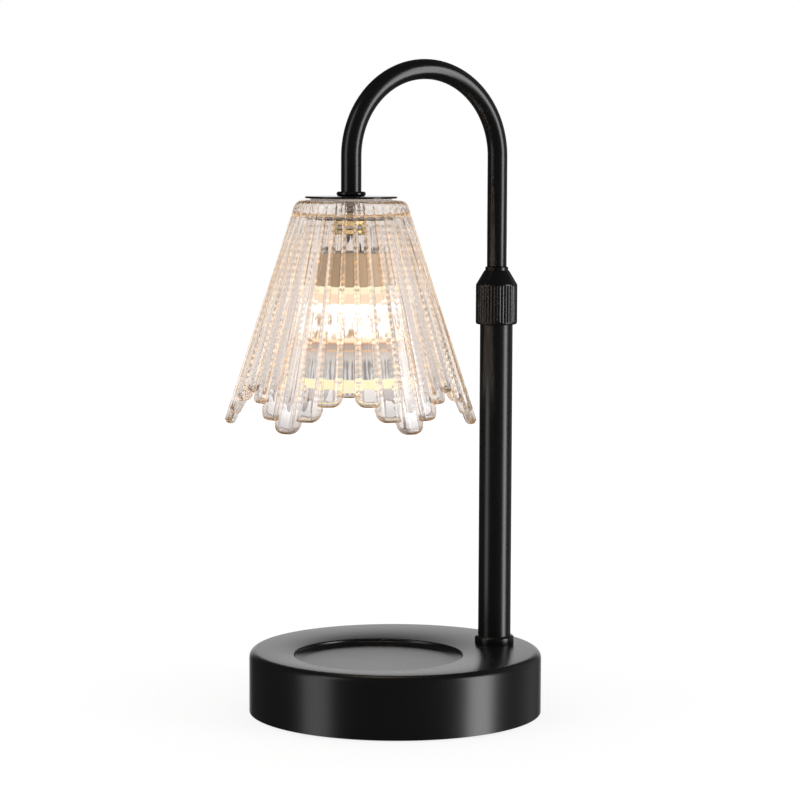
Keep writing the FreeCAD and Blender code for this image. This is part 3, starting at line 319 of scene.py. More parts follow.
def on_axis(axis, profile):
    """Circles of (radius, z) on an upright axis at (x, y)."""
    return [axis + point for point in profile]


def turned(rings, segments, capped=False):
    """A closed mesh through these circles: a ring, or solid with both ends capped."""
    mesh = bmesh.new()
    loops = circles(mesh, rings, segments)
    if capped:
        bmesh.ops.contextual_create(mesh, geom=loops[-1])
        bmesh.ops.contextual_create(mesh, geom=loops[0])
    else:
        bmesh.ops.bridge_loops(mesh, edges=loops[0] + loops[-1])
    return mesh


def quarter(ring, middle_z, radius, start, end, steps):
    """A rounded edge as (radius, z) points, from start to end degrees round its middle."""
    found = []
    for step in range(steps + 1):
        turn = math.radians(start + (end - start) * step / steps)
        found.append((ring + radius * math.cos(turn), middle_z + radius * math.sin(turn)))
    return found


def make_piece(name, mesh, material, body, slot, *nodes, sharp=35.0):
    """Turns a finished bmesh into a piece that rides on a body and stands for CAD nodes."""
    bmesh.ops.remove_doubles(mesh, verts=mesh.verts, dist=0.000002)
    bmesh.ops.recalc_face_normals(mesh, faces=mesh.faces)
    data = bpy.data.meshes.new(name)
    mesh.to_mesh(data)
    mesh.free()
    for face in data.polygons:
        face.use_smooth = True
    data.set_sharp_from_angle(angle=math.radians(sharp))
    data.materials.append(material)
    piece = put_in_scene(name, data)
    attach(piece, body)
    if nodes:
        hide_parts(*nodes)
    return piece


def span(node):
    """Axis (x, y), outer radius, lowest and highest z of a round CAD node."""
    low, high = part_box(node)
    axis = ((low.x + high.x) / 2, (low.y + high.y) / 2)
    return axis, (high.x - low.x) / 2, low.z, high.z


def mottled(name, tone, low, high, sheen, grain=None, metallic=0.0):
    """A finish whose colour and sheen drift together, over a fine grain in its skin.

    tone is (scale, detail) of the drift, sheen is (least roughness, what the drift
    adds), and grain is (scale, detail, strength, depth).
    """
    made, place = new_material(name)
    drift = made.noise(place, *tone)
    sockets = {"Base Color": made.blend(drift, low, high), "Metallic": metallic}
    sockets["Roughness"] = drift * sheen[1] + sheen[0]
    if grain:
        scale, detail, strength, depth = grain
        sockets["Normal"] = made.bump(made.noise(place, scale, detail), strength, depth)
    return made.surface(sockets)


def powder_coat(name, level, roughness, peel):
    """Black powder coat: fine orange peel, and a slightly uneven sheen."""
    low, high = (level * 0.85,) * 3, (level * 1.2,) * 3
    orange_peel = (420.0, 1.0, peel, 0.00004)
    return mottled(name, (22.0, 2.0), low, high, (roughness - 0.02, 0.04), orange_peel)


SHEET = 0.0012
TOP_ROUND = 0.0035
RECESS_AXIS = (-0.008, -0.014)
RECESS_RADIUS = 0.040
RECESS_DEPTH = 0.0025
LIP_ROUND = 0.0007
COVE_WIDTH = 0.0042
COVE_STEPS = 8
INLET_Z = 0.0095
INLET_HALF = 0.0045
INLET_WALL = 0.9
base_axis, base_radius, rim_z, base_top = span("base_shell")
satin_black = powder_coat("satin_black", 0.003, 0.27, 0.02)
top_middle = base_radius - TOP_ROUND
top_round_z = base_top - TOP_ROUND
cove_radius = RECESS_RADIUS - COVE_WIDTH
wall_heights = [INLET_Z + INLET_HALF, INLET_Z - INLET_HALF, rim_z]
# The underside, from the middle of the recess out to the rim.
under_recess = [(cove_radius, base_top - RECESS_DEPTH - SHEET)]
under_recess += [(RECESS_RADIUS + SHEET, base_top - SHEET)]
inside_wall = quarter(top_middle, top_round_z, TOP_ROUND - SHEET, 90, 0, 4)
inside_wall += [(base_radius - SHEET, z) for z in wall_heights]
# The outside, from the rim back to the middle of the recess.
outside_wall = [(base_radius, z) for z in reversed(wall_heights)]
outside_wall += quarter(top_middle, top_round_z, TOP_ROUND, 0, 90, 9)
recess = quarter(RECESS_RADIUS + LIP_ROUND, base_top - LIP_ROUND, LIP_ROUND, 90, 180, 3)
for step in range(1, COVE_STEPS + 1):
    turn = math.radians(90 * step / COVE_STEPS)
    z = base_top - LIP_ROUND - (RECESS_DEPTH - LIP_ROUND) * math.sin(turn)
    recess += [(cove_radius + COVE_WIDTH * math.cos(turn), z)]
drum_rings = on_axis(RECESS_AXIS, under_recess) + on_axis(base_axis, inside_wall + outside_wall)
drum = turned(drum_rings + on_axis(RECESS_AXIS, recess), 180, capped=True)
inlet_faces = []
for face in drum.faces:
    middle = face.calc_center_median()
    at_inlet = abs(middle.x) < INLET_HALF and abs(middle.z - INLET_Z) < INLET_HALF / 4
    if at_inlet and middle.y > base_radius * INLET_WALL:
        inlet_faces.append(face)
bmesh.ops.delete(drum, geom=inlet_faces, context="FACES")
bmesh.ops.bridge_loops(drum, edges=[edge for edge in drum.edges if edge.is_boundary])
make_piece("base_drum", drum, satin_black, "base", "black_steel", "base_shell", sharp=50.0)


# ------------------------------------------------------------- base posts
# Three turned steel posts welded under the shell's top, zinc plated. The closing
# plate's screws go into them.
def streaked_metal(name, stretch, scale, low, high, sheen):
    """Bright metal with fine streaks, as rolling or turning leaves them.

    sheen is (least roughness, what the streaks add).
    """
    metal, place = new_material(name)
    stretched = metal.add("Mapping", None, {"Vector": place, "Scale": stretch})["Vector"]
    streak = metal.noise(stretched, scale, 3.0)
    sockets = {"Base Color": metal.blend(streak, low, high), "Metallic": 1.0}
    sockets["Roughness"] = streak * sheen[1] + sheen[0]
    return metal.surface(sockets)


def repaint(material, *names):
    """CAD nodes keep their shape and take this material."""
    for name in names:
        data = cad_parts[name].data
        if not data.materials:
            data.materials.append(material)
        for index in range(len(data.materials)):
            data.materials[index] = material


ZINC_DULL = (0.496, 0.504, 0.512)
ZINC_BRIGHT = (0.62, 0.63, 0.64)
rolled = (1.0, 12.0, 1.0)
zinc = streaked_metal("zinc_plating", rolled, 160.0, ZINC_DULL, ZINC_BRIGHT, (0.25, 0.15))
repaint(zinc, "base_posts")

# ------------------------------------------------------------ base weight
# A grey iron casting that keeps the lamp from tipping, with a channel for the
# wiring. Its skin is rough from the sand mould.
IRON_DARK = (0.05, 0.05, 0.052)
IRON_PALE = (0.11, 0.105, 0.1)
sand_skin = (700.0, 4.0, 0.5, 0.0003)
cast_iron = mottled(
    "cast_iron", (60.0, 3.0), IRON_DARK, IRON_PALE, (0.6, 0.2), sand_skin, metallic=0.7
)
repaint(cast_iron, "base_weight")

# --------------------------------------------- closing plate, screws and pad
# A steel plate closes the drum, held by three screws. A foam pad stuck over it
# stands on the table.
repaint(zinc, "base_plate", "base_screws")
pad_foam, pad_place = new_material("pad_foam")
cells = pad_foam.add("TexVoronoi", None, {"Vector": pad_place, "Scale": 1400.0})["Distance"]
# The cell pattern that sinks the pad's pores also darkens their colour: painted shade in the
# pores.
foam_sockets = {
    "Base Color": pad_foam.blend(cells, (0.012, 0.012, 0.013), (0.035, 0.035, 0.036)),
    "Roughness": cells * 0.1 + 0.85,
    "Normal": pad_foam.bump(cells, 0.6, 0.0002),
}
PAD_ROUND = 0.0003
pad_axis, pad_radius, pad_low, pad_high = span("base_pad")
pad_profile = quarter(pad_radius - PAD_ROUND, pad_low + PAD_ROUND, PAD_ROUND, -90, 0, 3)
pad_profile += quarter(pad_radius - PAD_ROUND, pad_high - PAD_ROUND, PAD_ROUND, 0, 90, 3)
pad = turned(on_axis(pad_axis, pad_profile), 120, capped=True)
make_piece("foot_pad", pad, pad_foam.surface(foam_sockets), "base", "foot_foam", "base_pad")

# ------------------------------------------------------------ cord grommet
# A moulded rubber grommet in the shell's back wall, where the supply cord goes
# in. Its dull skin has a faint bloom.
RUBBER_DARK = (0.012, 0.012, 0.012)
RUBBER_BLOOM = (0.028, 0.028, 0.03)
bloom = (300.0, 3.0)
rubber_skin = bloom + (0.3, 0.0001)
rubber = mottled("black_rubber", bloom, RUBBER_DARK, RUBBER_BLOOM, (0.5, 0.15), rubber_skin)
repaint(rubber, "cord_grommet")


# ------------------------------------------- terminal block and supply lead
# A white nylon block under the shell joins the cord to the sleeved lead that
# goes up the pole. Its clamping screws are plated steel.
def plastic(name, low, high, roughness, grain):
    """Moulded plastic: an even colour, and a fine moulded grain."""
    moulded_skin = (1500.0, 2.0, grain, 0.00005)
    return mottled(name, (90.0, 3.0), low, high, (roughness, 0.1), moulded_skin)


white_nylon = plastic("white_nylon", (0.68, 0.67, 0.63), (0.78, 0.77, 0.74), 0.4, 0.3)
lead_sleeve = plastic("lead_sleeve", (0.45, 0.45, 0.45), (0.55, 0.55, 0.54), 0.45, 0.3)
repaint(white_nylon, "terminal_block")
repaint(zinc, "terminal_screws")
repaint(lead_sleeve, "base_lead")

# ------------------------------------------------------------- foot collar
# A turned steel ring under the pole, powder coated with the base. Its upper
# edge has a small chamfer that catches the light.
CHAMFER = 0.0008
COLLAR_LAP = 0.001
COLLAR_BREAK = 0.00015
SHARP_TURN = 0.5
collar_axis, collar_radius, collar_low, collar_high = span("foot_collar")
pole_radius = span("outer_tube")[1]
collar_bore = pole_radius - COLLAR_LAP
collar_profile = [(collar_bore, collar_low), (collar_radius, collar_low)]
collar_profile += [(collar_radius, collar_high - CHAMFER)]
collar_profile += [(collar_radius - CHAMFER, collar_high), (collar_bore, collar_high)]
collar = turned(on_axis(collar_axis, collar_profile), 96)
sharp_edges = [edge for edge in collar.edges if edge.calc_face_angle(0.0) > SHARP_TURN]
bmesh.ops.bevel(
    collar, geom=sharp_edges, offset=COLLAR_BREAK, segments=2, profile=0.5,
    affect="EDGES", material=-1,
)
make_piece("pole_collar", collar, satin_black, "base", "black_steel", "foot_collar")

# --------------------------------------------- pole and what holds its foot
# The lower pole is a drawn steel tube, powder coated. A plug pressed in its end
# takes the threaded nipple, and a washer and nut under the shell clamp it.
TUBE_WALL = 0.0012
TUBE_EDGE = 0.0003
tube_axis, tube_radius, tube_low, tube_high = span("outer_tube")
tube_length = tube_high - tube_low
tube_profile = [(tube_radius, tube_low + share * tube_length) for share in (0.0, 0.25, 0.5, 0.75)]
tube_profile += quarter(tube_radius - TUBE_EDGE, tube_high - TUBE_EDGE, TUBE_EDGE, 0, 90, 3)
tube_profile += [(tube_radius - TUBE_WALL, tube_high), (tube_radius - TUBE_WALL, tube_low)]
pole = turned(on_axis(tube_axis, tube_profile), 96)
make_piece("pole_tube", pole, satin_black, "base", "black_steel", "outer_tube")
repaint(zinc, "tube_plug", "foot_nipple", "foot_washer", "foot_nut")

# ------------------------------------------------- tube head and its collet
# A brass head pressed in the pole's upper end carries the thread of the clamp
# nut. A split nylon collet in it grips the gooseneck.
BRASS_DEEP = (0.60, 0.43, 0.19)
BRASS_BRIGHT = (0.80, 0.62, 0.32)
tooled = (1.0, 1.0, 30.0)
turned_brass = streaked_metal(
    "turned_brass", tooled, 120.0, BRASS_DEEP, BRASS_BRIGHT, (0.22, 0.12)
)
repaint(turned_brass, "tube_head")
repaint(white_nylon, "clamp_collet")

# -------------------------------------------------------------- clamp nut
# A turned and knurled nut, dead black. Screwed down, it squeezes the collet and
# holds the gooseneck at its height.
KNURLS = 36
SEGMENTS_PER_KNURL = 10
KNURL_DEPTH = 0.0003
KNURL_NEAR = 0.0002
GROOVE_HALF = 0.36
GROOVE_RUNOUT = 0.0006
GROOVE_NEAR = 0.00001
NUT_BODY = 0.0194
NUT_CONE = 0.0066
NUT_EDGE = 0.001
NUT_BREAK = 0.0004
NUT_MOUTH = 0.002
RUNNING_GAP = 0.0003
CONE_END_RADIUS = 0.0061
FACE_RADIUS = 0.0057
FACE_ROUND = 0.0003
LIP_WALL = 0.0005
LIP_BREAK = 0.0002
ARM_RADIUS = 0.00475
nut_axis, nut_radius, nut_low, nut_high = span("clamp_nut")
matte_black = powder_coat("matte_black", 0.003, 0.24, 0.01)
mouth_radius = pole_radius + RUNNING_GAP
bore = ARM_RADIUS + RUNNING_GAP
lip_radius = bore + LIP_WALL
cone_z = nut_low + NUT_BODY
face_z = cone_z + NUT_CONE
groove_low = nut_low + NUT_EDGE + GROOVE_RUNOUT
groove_high = cone_z - NUT_BREAK - GROOVE_RUNOUT
nut_profile = [(mouth_radius, nut_low + NUT_MOUTH), (mouth_radius, nut_low)]
nut_profile += quarter(nut_radius - NUT_EDGE, nut_low + NUT_EDGE, NUT_EDGE, -90, 0, 6)
nut_profile += [(nut_radius, z) for z in (groove_low, groove_high, cone_z - NUT_BREAK)]
nut_profile += [(nut_radius - NUT_BREAK / 4, cone_z)]
nut_profile += [(nut_radius - NUT_BREAK, cone_z + NUT_BREAK)]
nut_profile += [(CONE_END_RADIUS, face_z - FACE_ROUND), (FACE_RADIUS, face_z)]
nut_profile += [(lip_radius, face_z), (lip_radius, nut_high - LIP_BREAK)]
nut_profile += [(lip_radius - LIP_BREAK, nut_high), (bore, nut_high), (bore, cone_z)]
nut = turned(on_axis(nut_axis, nut_profile), KNURLS * SEGMENTS_PER_KNURL)
for corner in nut.verts:
    outward = corner.co.xy - Vector(nut_axis)
    grooved = groove_low - GROOVE_NEAR < corner.co.z < groove_high + GROOVE_NEAR
    if grooved and outward.length > nut_radius - KNURL_NEAR:
        turn = math.atan2(outward.y, outward.x) / (2 * math.pi) * KNURLS
        aside = abs(turn - round(turn)) / GROOVE_HALF
        if aside < 1.0:
            deeper = outward.normalized() * KNURL_DEPTH * (1.0 - aside)
            corner.co -= deeper.to_3d()
make_piece("knurled_nut", nut, matte_black, "nut", "knurled_black", "clamp_nut", sharp=22.0)


# ------------------------------------------------------- gooseneck and bush
# The gooseneck is a steel tube bent over a former: a long leg that slides in the
# pole, a half circle, and a short drop to the shade. A nylon bush guides its end.
def draw_out(mesh, edges, way):
    """Edges drawn out along a straight way. Gives back the edges at its end."""
    grown = bmesh.ops.extrude_edge_only(mesh, edges=edges)["geom"]
    moved = corners_in(grown)
    bmesh.ops.translate(mesh, verts=moved, vec=way)
    return loop_of(grown, moved)


ARCH_RADIUS = 0.0408
ARCH_CENTRE_Z = 0.2657
ARCH_BEARING = 212.1
ARCH_STEPS = 72
ARM_LEG_BOTTOM = 0.1157
ARM_END = 0.2296
ARM_WALL = 0.001
arm_x, arm_y = nut_axis
arch_turn = math.radians(ARCH_BEARING)
arm_way = Vector((math.cos(arch_turn), math.sin(arch_turn), 0.0))
shade_x = arm_x + 2 * ARCH_RADIUS * arm_way.x
shade_y = arm_y + 2 * ARCH_RADIUS * arm_way.y
shade_axis = (shade_x, shade_y)
cap_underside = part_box("cap_disc")[0].z
arm = bmesh.new()
leg_foot = bmesh.ops.create_circle(arm, segments=48, radius=ARM_RADIUS)["verts"]
bmesh.ops.translate(arm, verts=leg_foot, vec=(arm_x, arm_y, ARM_LEG_BOTTOM))
leg_top = draw_out(arm, list(arm.edges), (0.0, 0.0, ARCH_CENTRE_Z - ARM_LEG_BOTTOM))
leg_top_corners = list({end for edge in leg_top for end in edge.verts})
arch_axis = Vector((0.0, 0.0, 1.0)).cross(arm_way)
arch_middle = Vector((arm_x, arm_y, ARCH_CENTRE_Z)) + arm_way * ARCH_RADIUS
bent = bmesh.ops.spin(
    arm, geom=leg_top + leg_top_corners, cent=arch_middle, axis=arch_axis,
    angle=math.pi, steps=ARCH_STEPS,
)["geom_last"]
arm_end = edges_in(bent)
for drop in (ARCH_CENTRE_Z - cap_underside, cap_underside - ARM_END):
    arm_end = draw_out(arm, arm_end, (0.0, 0.0, -drop))
arm_lacquer = powder_coat("arm_lacquer", 0.003, 0.25, 0.008)
gooseneck = make_piece("gooseneck_tube", arm, arm_lacquer, "arm", "black_steel", "gooseneck")

# Below the cap disc the tube is bare, with a cut thread for the nuts.
THREAD_SCALE = 320.0
THREAD_ROOT_SHADE = (0.22, 0.185, 0.165)
THREAD_CREST_HIGHLIGHT = (0.46, 0.405, 0.375)
DROP_NEAR = 0.01
bare_thread, thread_place = new_material("bare_thread")
thread_sockets = {"Vector": thread_place, "Scale": THREAD_SCALE}
crests = bare_thread.add("TexWave", {"bands_direction": "Z"}, thread_sockets)["Fac"]
# The thread's colour is darker in its roots and paler on its crests: painted shade and painted
# highlight over the bumped thread.
bare_sockets = {
    "Base Color": bare_thread.blend(crests, THREAD_ROOT_SHADE, THREAD_CREST_HIGHLIGHT),
    "Roughness": crests * 0.1 + 0.5,
    "Metallic": 0.6,
    "Normal": bare_thread.bump(crests, 0.5, 0.0002),
}
gooseneck.data.materials.append(bare_thread.surface(bare_sockets))
for face in gooseneck.data.polygons:
    from_drop = math.hypot(face.center.x - shade_x, face.center.y - shade_y)
    if face.center.z < cap_underside and from_drop < DROP_NEAR:
        face.material_index = 1
arm_wall = gooseneck.modifiers.new("wall", "SOLIDIFY")
arm_wall.thickness = ARM_WALL
arm_wall.offset = -1.0
repaint(white_nylon, "guide_bush")
repaint(lead_sleeve, "arm_lead")

# ------------------------------------------- stop ring, cap disc and gaskets
# A turned ring on the gooseneck holds down the polished black disc on the glass.
# Two silicone gaskets keep metal from the glass.
CAP_ROUND = 0.0004
GLASS_FILM = 0.00008
FITTING_GAP = 0.0002
gloss_black = powder_coat("gloss_black", 0.006, 0.08, 0.02)
_, ring_radius, ring_low, ring_high = span("stop_ring")
ring_round = (ring_high - ring_low) / 2
ring_middle = ring_radius - ring_round
ring_profile = [(ARM_RADIUS, ring_low)]
ring_profile += quarter(ring_middle, ring_low + ring_round, ring_round, -90, 90, 12)
ring_profile += [(ARM_RADIUS, ring_high)]
stop_ring = turned(on_axis(shade_axis, ring_profile), 96)
make_piece("arm_stop_ring", stop_ring, gloss_black, "arm", "gloss_black", "stop_ring")

_, cap_radius, cap_low, cap_high = span("cap_disc")
cap_profile = [(ARM_RADIUS, cap_low)]
cap_profile += quarter(cap_radius - CAP_ROUND, cap_low + CAP_ROUND, CAP_ROUND, -90, 0, 3)
cap_profile += quarter(cap_radius - CAP_ROUND, cap_high - CAP_ROUND, CAP_ROUND, 0, 90, 3)
cap_profile += [(ARM_RADIUS, cap_high)]
cap_disc = turned(on_axis(shade_axis, cap_profile), 128)
make_piece("shade_cap", cap_disc, gloss_black, "arm", "gloss_black", "cap_disc")

SILICONE_DEEP = (0.62, 0.58, 0.54)
SILICONE_PALE = (0.72, 0.69, 0.65)
silicone = mottled("clear_silicone", (250.0, 2.0), SILICONE_DEEP, SILICONE_PALE, (0.3, 0.2))
for gasket, glass_below in (("upper_gasket", True), ("lower_gasket", False)):
    _, gasket_radius, gasket_low, gasket_high = span(gasket)
    if glass_below:
        gasket_low += GLASS_FILM
    else:
        gasket_high -= GLASS_FILM
    gasket_bore = ARM_RADIUS + FITTING_GAP
    gasket_profile = [(gasket_bore, gasket_low), (gasket_radius, gasket_low)]
    gasket_profile += [(gasket_radius, gasket_high), (gasket_bore, gasket_high)]
    washer = turned(on_axis(shade_axis, gasket_profile), 96)
    make_piece(gasket + "_ring", washer, silicone, "arm", "clear_silicone", gasket)

# ------------------------------------------------------------- glass shade
# A pressed-glass cone of 36 flat rods with grooves between them, whose lower ends
# step up and down in six petals. It hangs by its thick crown.
# Its colour and glow carry painted bulb light and painted shade, set out below.
RODS = 36
RODS_PER_PETAL = 6
COLUMNS = 16
TIP_STEPS = (0.0, 0.0055, 0.0123, 0.0167)
ROD_CORNER = 0.0037
INNER_CORNER = 0.0012
END_BULGE = 0.0022
SUPPORT = 0.0005
GROOVE_SHARE = 0.24
SHOULDER_GROOVE = 0.45
FLUTE_SHARE = 1.6 / 59.4
FLAT_HALF = 0.31
GLASS_WALL = 0.0056
CROWN = 0.0081
SHOULDER = 0.004
INNER_ROUND = 0.002
SHOULDER_STEPS = 5
GLASS_HOLE = 0.0055
CROWN_FLAT = 0.013
CEILING_FLAT = 0.012
TOP_RADIUS = 0.0255
RIM_RADIUS = 0.0594
ENDS_BELOW = 0.18
ROD_SEAM = 0.001
glass_low, glass_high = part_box("glass_shade")
tip_z, glass_top = glass_low.z, glass_high.z
glass_slope = (RIM_RADIUS - TOP_RADIUS) / (glass_top - tip_z)


def glass_radius(z):
    return TOP_RADIUS + glass_slope * (glass_top - z)


ceiling_z = glass_top - CROWN
inner_top = glass_radius(ceiling_z) - GLASS_WALL
round_z = glass_top - SHOULDER
round_radius = glass_radius(round_z) - SHOULDER * math.hypot(1, glass_slope)
tangent = math.degrees(math.atan(glass_slope))
# Each row is (outer radius, outer z, inner radius, inner z, share of the groove's depth).
glass_rows = [(GLASS_HOLE, glass_top, GLASS_HOLE, ceiling_z, 0.0)]
glass_rows += [(CROWN_FLAT, glass_top, CEILING_FLAT, ceiling_z, 0.0)]
for step in range(SHOULDER_STEPS + 1):
    share = step / SHOULDER_STEPS
    turn = math.radians(90 + (tangent - 90) * share)
    outer = round_radius + SHOULDER * math.cos(turn)
    outer_z = round_z + SHOULDER * math.sin(turn)
    bend = math.radians(90 * (1 - share))
    inner = inner_top - INNER_ROUND + INNER_ROUND * math.cos(bend)
    inner_z = ceiling_z - INNER_ROUND + INNER_ROUND * math.sin(bend)
    glass_rows += [(outer, outer_z, inner, inner_z, SHOULDER_GROOVE * share)]
row_heights = [0.232, 0.2225, 0.213, 0.2035, 0.194, 0.1845, 0.176, 0.168]
for step in reversed(TIP_STEPS):
    end_row = tip_z + END_BULGE + step + ROD_CORNER
    row_heights += [end_row + SUPPORT, end_row]
for z in row_heights:
    glass_rows += [(glass_radius(z), z, glass_radius(z) - GLASS_WALL, z, 1.0)]
first_end_row = len(glass_rows) - 2 * len(TIP_STEPS)

glass = bmesh.new()
row_mark = glass.verts.layers.int.new("row")
chain = []
for index, row in enumerate(glass_rows):
    point = glass.verts.new((row[0], 0.0, row[1]))
    point[row_mark] = index
    chain.append(point)
links = [glass.edges.new(pair) for pair in zip(chain, chain[1:])]
bmesh.ops.spin(
    glass, geom=chain + links, cent=(0, 0, 0), axis=(0, 0, 1), angle=2 * math.pi,
    steps=RODS * COLUMNS, use_merge=True,
)
bmesh.ops.remove_doubles(glass, verts=glass.verts, dist=0.000001)


def rod_coordinate(point):
    """Rods counted round the shade from its front, and the place across one, -0.5 to 0.5."""
    turn = (math.degrees(math.atan2(point.y, point.x)) + 90.0) % 360.0
    rods = turn * RODS / 360.0
    rod = math.floor(rods + 0.5)
    return rod % RODS, rods - rod


def steps_from_tip(rod):
    return abs(rod % RODS_PER_PETAL - RODS_PER_PETAL // 2)


def end_rows(steps):
    """The rows of a rod's end, and of the band just above it."""
    last = len(glass_rows) - 1 - 2 * steps
    return last - 1, last


def move_corner(corner, radius, z):
    """Moves a corner to this radius and height, on its own bearing."""
    turn = math.atan2(corner.co.y, corner.co.x)
    corner.co = Vector((radius * math.cos(turn), radius * math.sin(turn), z))


spare = []
for face in glass.faces:
    rod, _ = rod_coordinate(face.calc_center_median())
    lowest = max(corner[row_mark] for corner in face.verts)
    if lowest > end_rows(steps_from_tip(rod))[1]:
        spare.append(face)
bmesh.ops.delete(glass, geom=spare, context="FACES")

for corner in glass.verts:
    rod, place = rod_coordinate(corner.co)
    row = corner[row_mark]
    depth = glass_rows[row][4]
    z = corner.co.z
    edge = 0.5 - abs(place)
    own_steps = steps_from_tip(rod)
    next_steps = steps_from_tip(rod + (1 if place > 0 else -1))
    corner_round = ROD_CORNER if next_steps > own_steps else INNER_CORNER
    inward = edge * 2 * math.pi / RODS * RIM_RADIUS
    if edge < ROD_SEAM and row in end_rows(max(own_steps, next_steps)):
        z = z - ROD_CORNER + INNER_CORNER
    elif edge > ROD_SEAM and row in end_rows(own_steps):
        short = max(0.0, corner_round - inward)
        z = z - ROD_CORNER + corner_round - math.sqrt(corner_round**2 - short**2)
    radius = math.hypot(corner.co.x, corner.co.y)
    if row >= first_end_row:
        radius = glass_radius(z)
    groove = 0.0
    if edge < GROOVE_SHARE:
        groove = 0.5 + 0.5 * math.cos(math.pi * edge / GROOVE_SHARE)
    flat_turn = min(abs(place), FLAT_HALF) * 2 * math.pi / RODS
    flat = math.cos(math.pi / RODS * 2 * FLAT_HALF) / math.cos(flat_turn)
    shrunk = radius * (1 + depth * (flat - 1)) * (1 - depth * groove * FLUTE_SHARE)
    move_corner(corner, shrunk, z)

outer_faces = list(glass.faces)
skin = bmesh.ops.extrude_face_region(glass, geom=outer_faces, use_keep_orig=True)["geom"]
for corner in corners_in(skin):
    _, _, inner, inner_z, _ = glass_rows[corner[row_mark]]
    if corner[row_mark] >= first_end_row:
        inner_z = corner.co.z
        inner = glass_radius(inner_z) - GLASS_WALL
    move_corner(corner, inner, inner_z)
bmesh.ops.recalc_face_normals(glass, faces=glass.faces)
through_wall = []
for edge in glass.edges:
    near, far = (math.hypot(end.co.x, end.co.y) for end in edge.verts)
    if edge.verts[0].co.z < ENDS_BELOW and abs(near - far) > GLASS_WALL * 0.6:
        through_wall.append(edge)
cut_parts = bmesh.ops.subdivide_edges(
    glass, edges=through_wall, cuts=5, use_grid_fill=True
)["geom_inner"]
glass.normal_update()
bulged = []
for corner in corners_in(cut_parts):
    outside = glass_radius(corner.co.z) - math.hypot(corner.co.x, corner.co.y)
    across_wall = 2.0 * outside / GLASS_WALL - 1.0
    swell = END_BULGE * math.sqrt(max(0.0, 1.0 - across_wall ** 2))
    bulged.append((corner, corner.co + corner.normal * swell))
for corner, place in bulged:
    corner.co = place
bmesh.ops.translate(glass, verts=glass.verts, vec=(shade_x, shade_y, 0.0))


def about_shade_axis(recipe, place):
    """The place apart in x, y and z from the shade's axis, and the bearing round it."""
    centre = {0: place, 1: (shade_x, shade_y, 0.0)}
    from_axis = recipe.add("VectorMath", {"operation": "SUBTRACT"}, centre)["Vector"]
    parts = recipe.add("SeparateXYZ", None, {0: from_axis})
    return parts, parts["Y"].maths("ARCTAN2", parts["X"])


RIB_PITCH = 0.0029
GOLD_LIGHT = (0.60, 0.34, 0.12)
FLANK_TINT = (0.87, 0.84, 0.825)
GROOVE_SHADE_LOW = (0.80, 0.77, 0.755)
GROOVE_SHADE_HIGH = (0.75, 0.69, 0.645)
TIP_SHADE_TINT = (0.57, 0.53, 0.52)
EDGE_LINE_SHADE = (0.34, 0.31, 0.30)
SHADOW_TINT = (0.93, 0.91, 0.89)
pressed, glass_place = new_material("pressed_glass")
glass_rays = pressed.add("LightPath")
along, bearing = about_shade_axis(pressed, glass_place)
height = along["Z"]
rod_turns = bearing * (RODS / (2 * math.pi)) + (RODS / 4 + 0.5)
across_rod = (rod_turns.maths("FRACT") - 0.5).maths("ABSOLUTE")
in_groove = across_rod.climb(0.27, 0.40)
outward = (along["X"] * along["X"] + along["Y"] * along["Y"]).maths("SQRT")
below_crest = (glass_top - height) * glass_slope + TOP_RADIUS - outward
at_outside = below_crest.fall(0.0025, 0.0045)
rib_wave = (height * (2 * math.pi / RIB_PITCH)).maths("SINE")
streaks = pressed.noise(pressed.point(bearing * 36.0, height * 45.0, 0.0), 1.0, 1.0)
patches = pressed.noise(pressed.point(bearing * 11.5, height * 230.0, 3.0), 1.0, 2.0)
above_tips = height.climb(0.146, 0.172) * 0.85 + 0.15
relief = (rib_wave * 0.42 + streaks * 0.35) * in_groove * above_tips
# Warm light from the bulb is painted into the glass as gold glow: in the grooves near the bulb's
# height and along rods seen aslant. It is painted light.
by_bulb = height.band(0.142, 0.172, 0.226, 0.244)
painted_glint_dashes = patches.climb(0.35, 0.75) * (rib_wave * 0.45 + 0.55)
painted_groove_light = in_groove * (painted_glint_dashes * 0.75 + 0.12) + 0.05
aslant = pressed.add("LayerWeight", None, {"Blend": 0.5})["Facing"].climb(0.62, 0.98)
below_crown = height.fall(0.232, 0.240)
painted_edge_light = aslant * (painted_glint_dashes * 0.8 + 0.35) * (below_crown * 0.8 + 0.2)
painted_light_share = (painted_groove_light * (by_bulb * 0.8 + 0.2) + painted_edge_light) * at_outside
# Gold light is also painted as glow in a thin band just under the crown's inner face.
at_ceiling = height.band(
    ceiling_z + 0.0002, ceiling_z + 0.0010, ceiling_z + 0.0018, ceiling_z + 0.0030
)
painted_ceiling_light = at_ceiling * at_outside * (painted_glint_dashes * 0.35 + 0.25)
painted_bulb_light = pressed.blend(painted_light_share + painted_ceiling_light, (0.0, 0.0, 0.0), GOLD_LIGHT)
# Thin dark lines, broken by streaks, are tinted along the rods' edges: painted shade where the
# edges bend light away.
painted_edge_line = across_rod.band(0.250, 0.275, 0.285, 0.315) * at_outside
painted_broken_edge_line = painted_edge_line * streaks.climb(0.42, 0.58)
# The grooves are tinted darker and warmer than the flats, more so high up by the bulb: painted
# shade and painted warm light over the glass's own pale tint.
painted_groove_shade = pressed.blend(height.climb(0.190, 0.225), GROOVE_SHADE_LOW, GROOVE_SHADE_HIGH)
flank_and_groove_shade = pressed.blend(in_groove, FLANK_TINT, painted_groove_shade)
rod_in_petal = rod_turns.maths("FLOOR").maths("FLOORED_MODULO", RODS_PER_PETAL)
rod_steps = (rod_in_petal - RODS_PER_PETAL / 2).maths("ABSOLUTE")
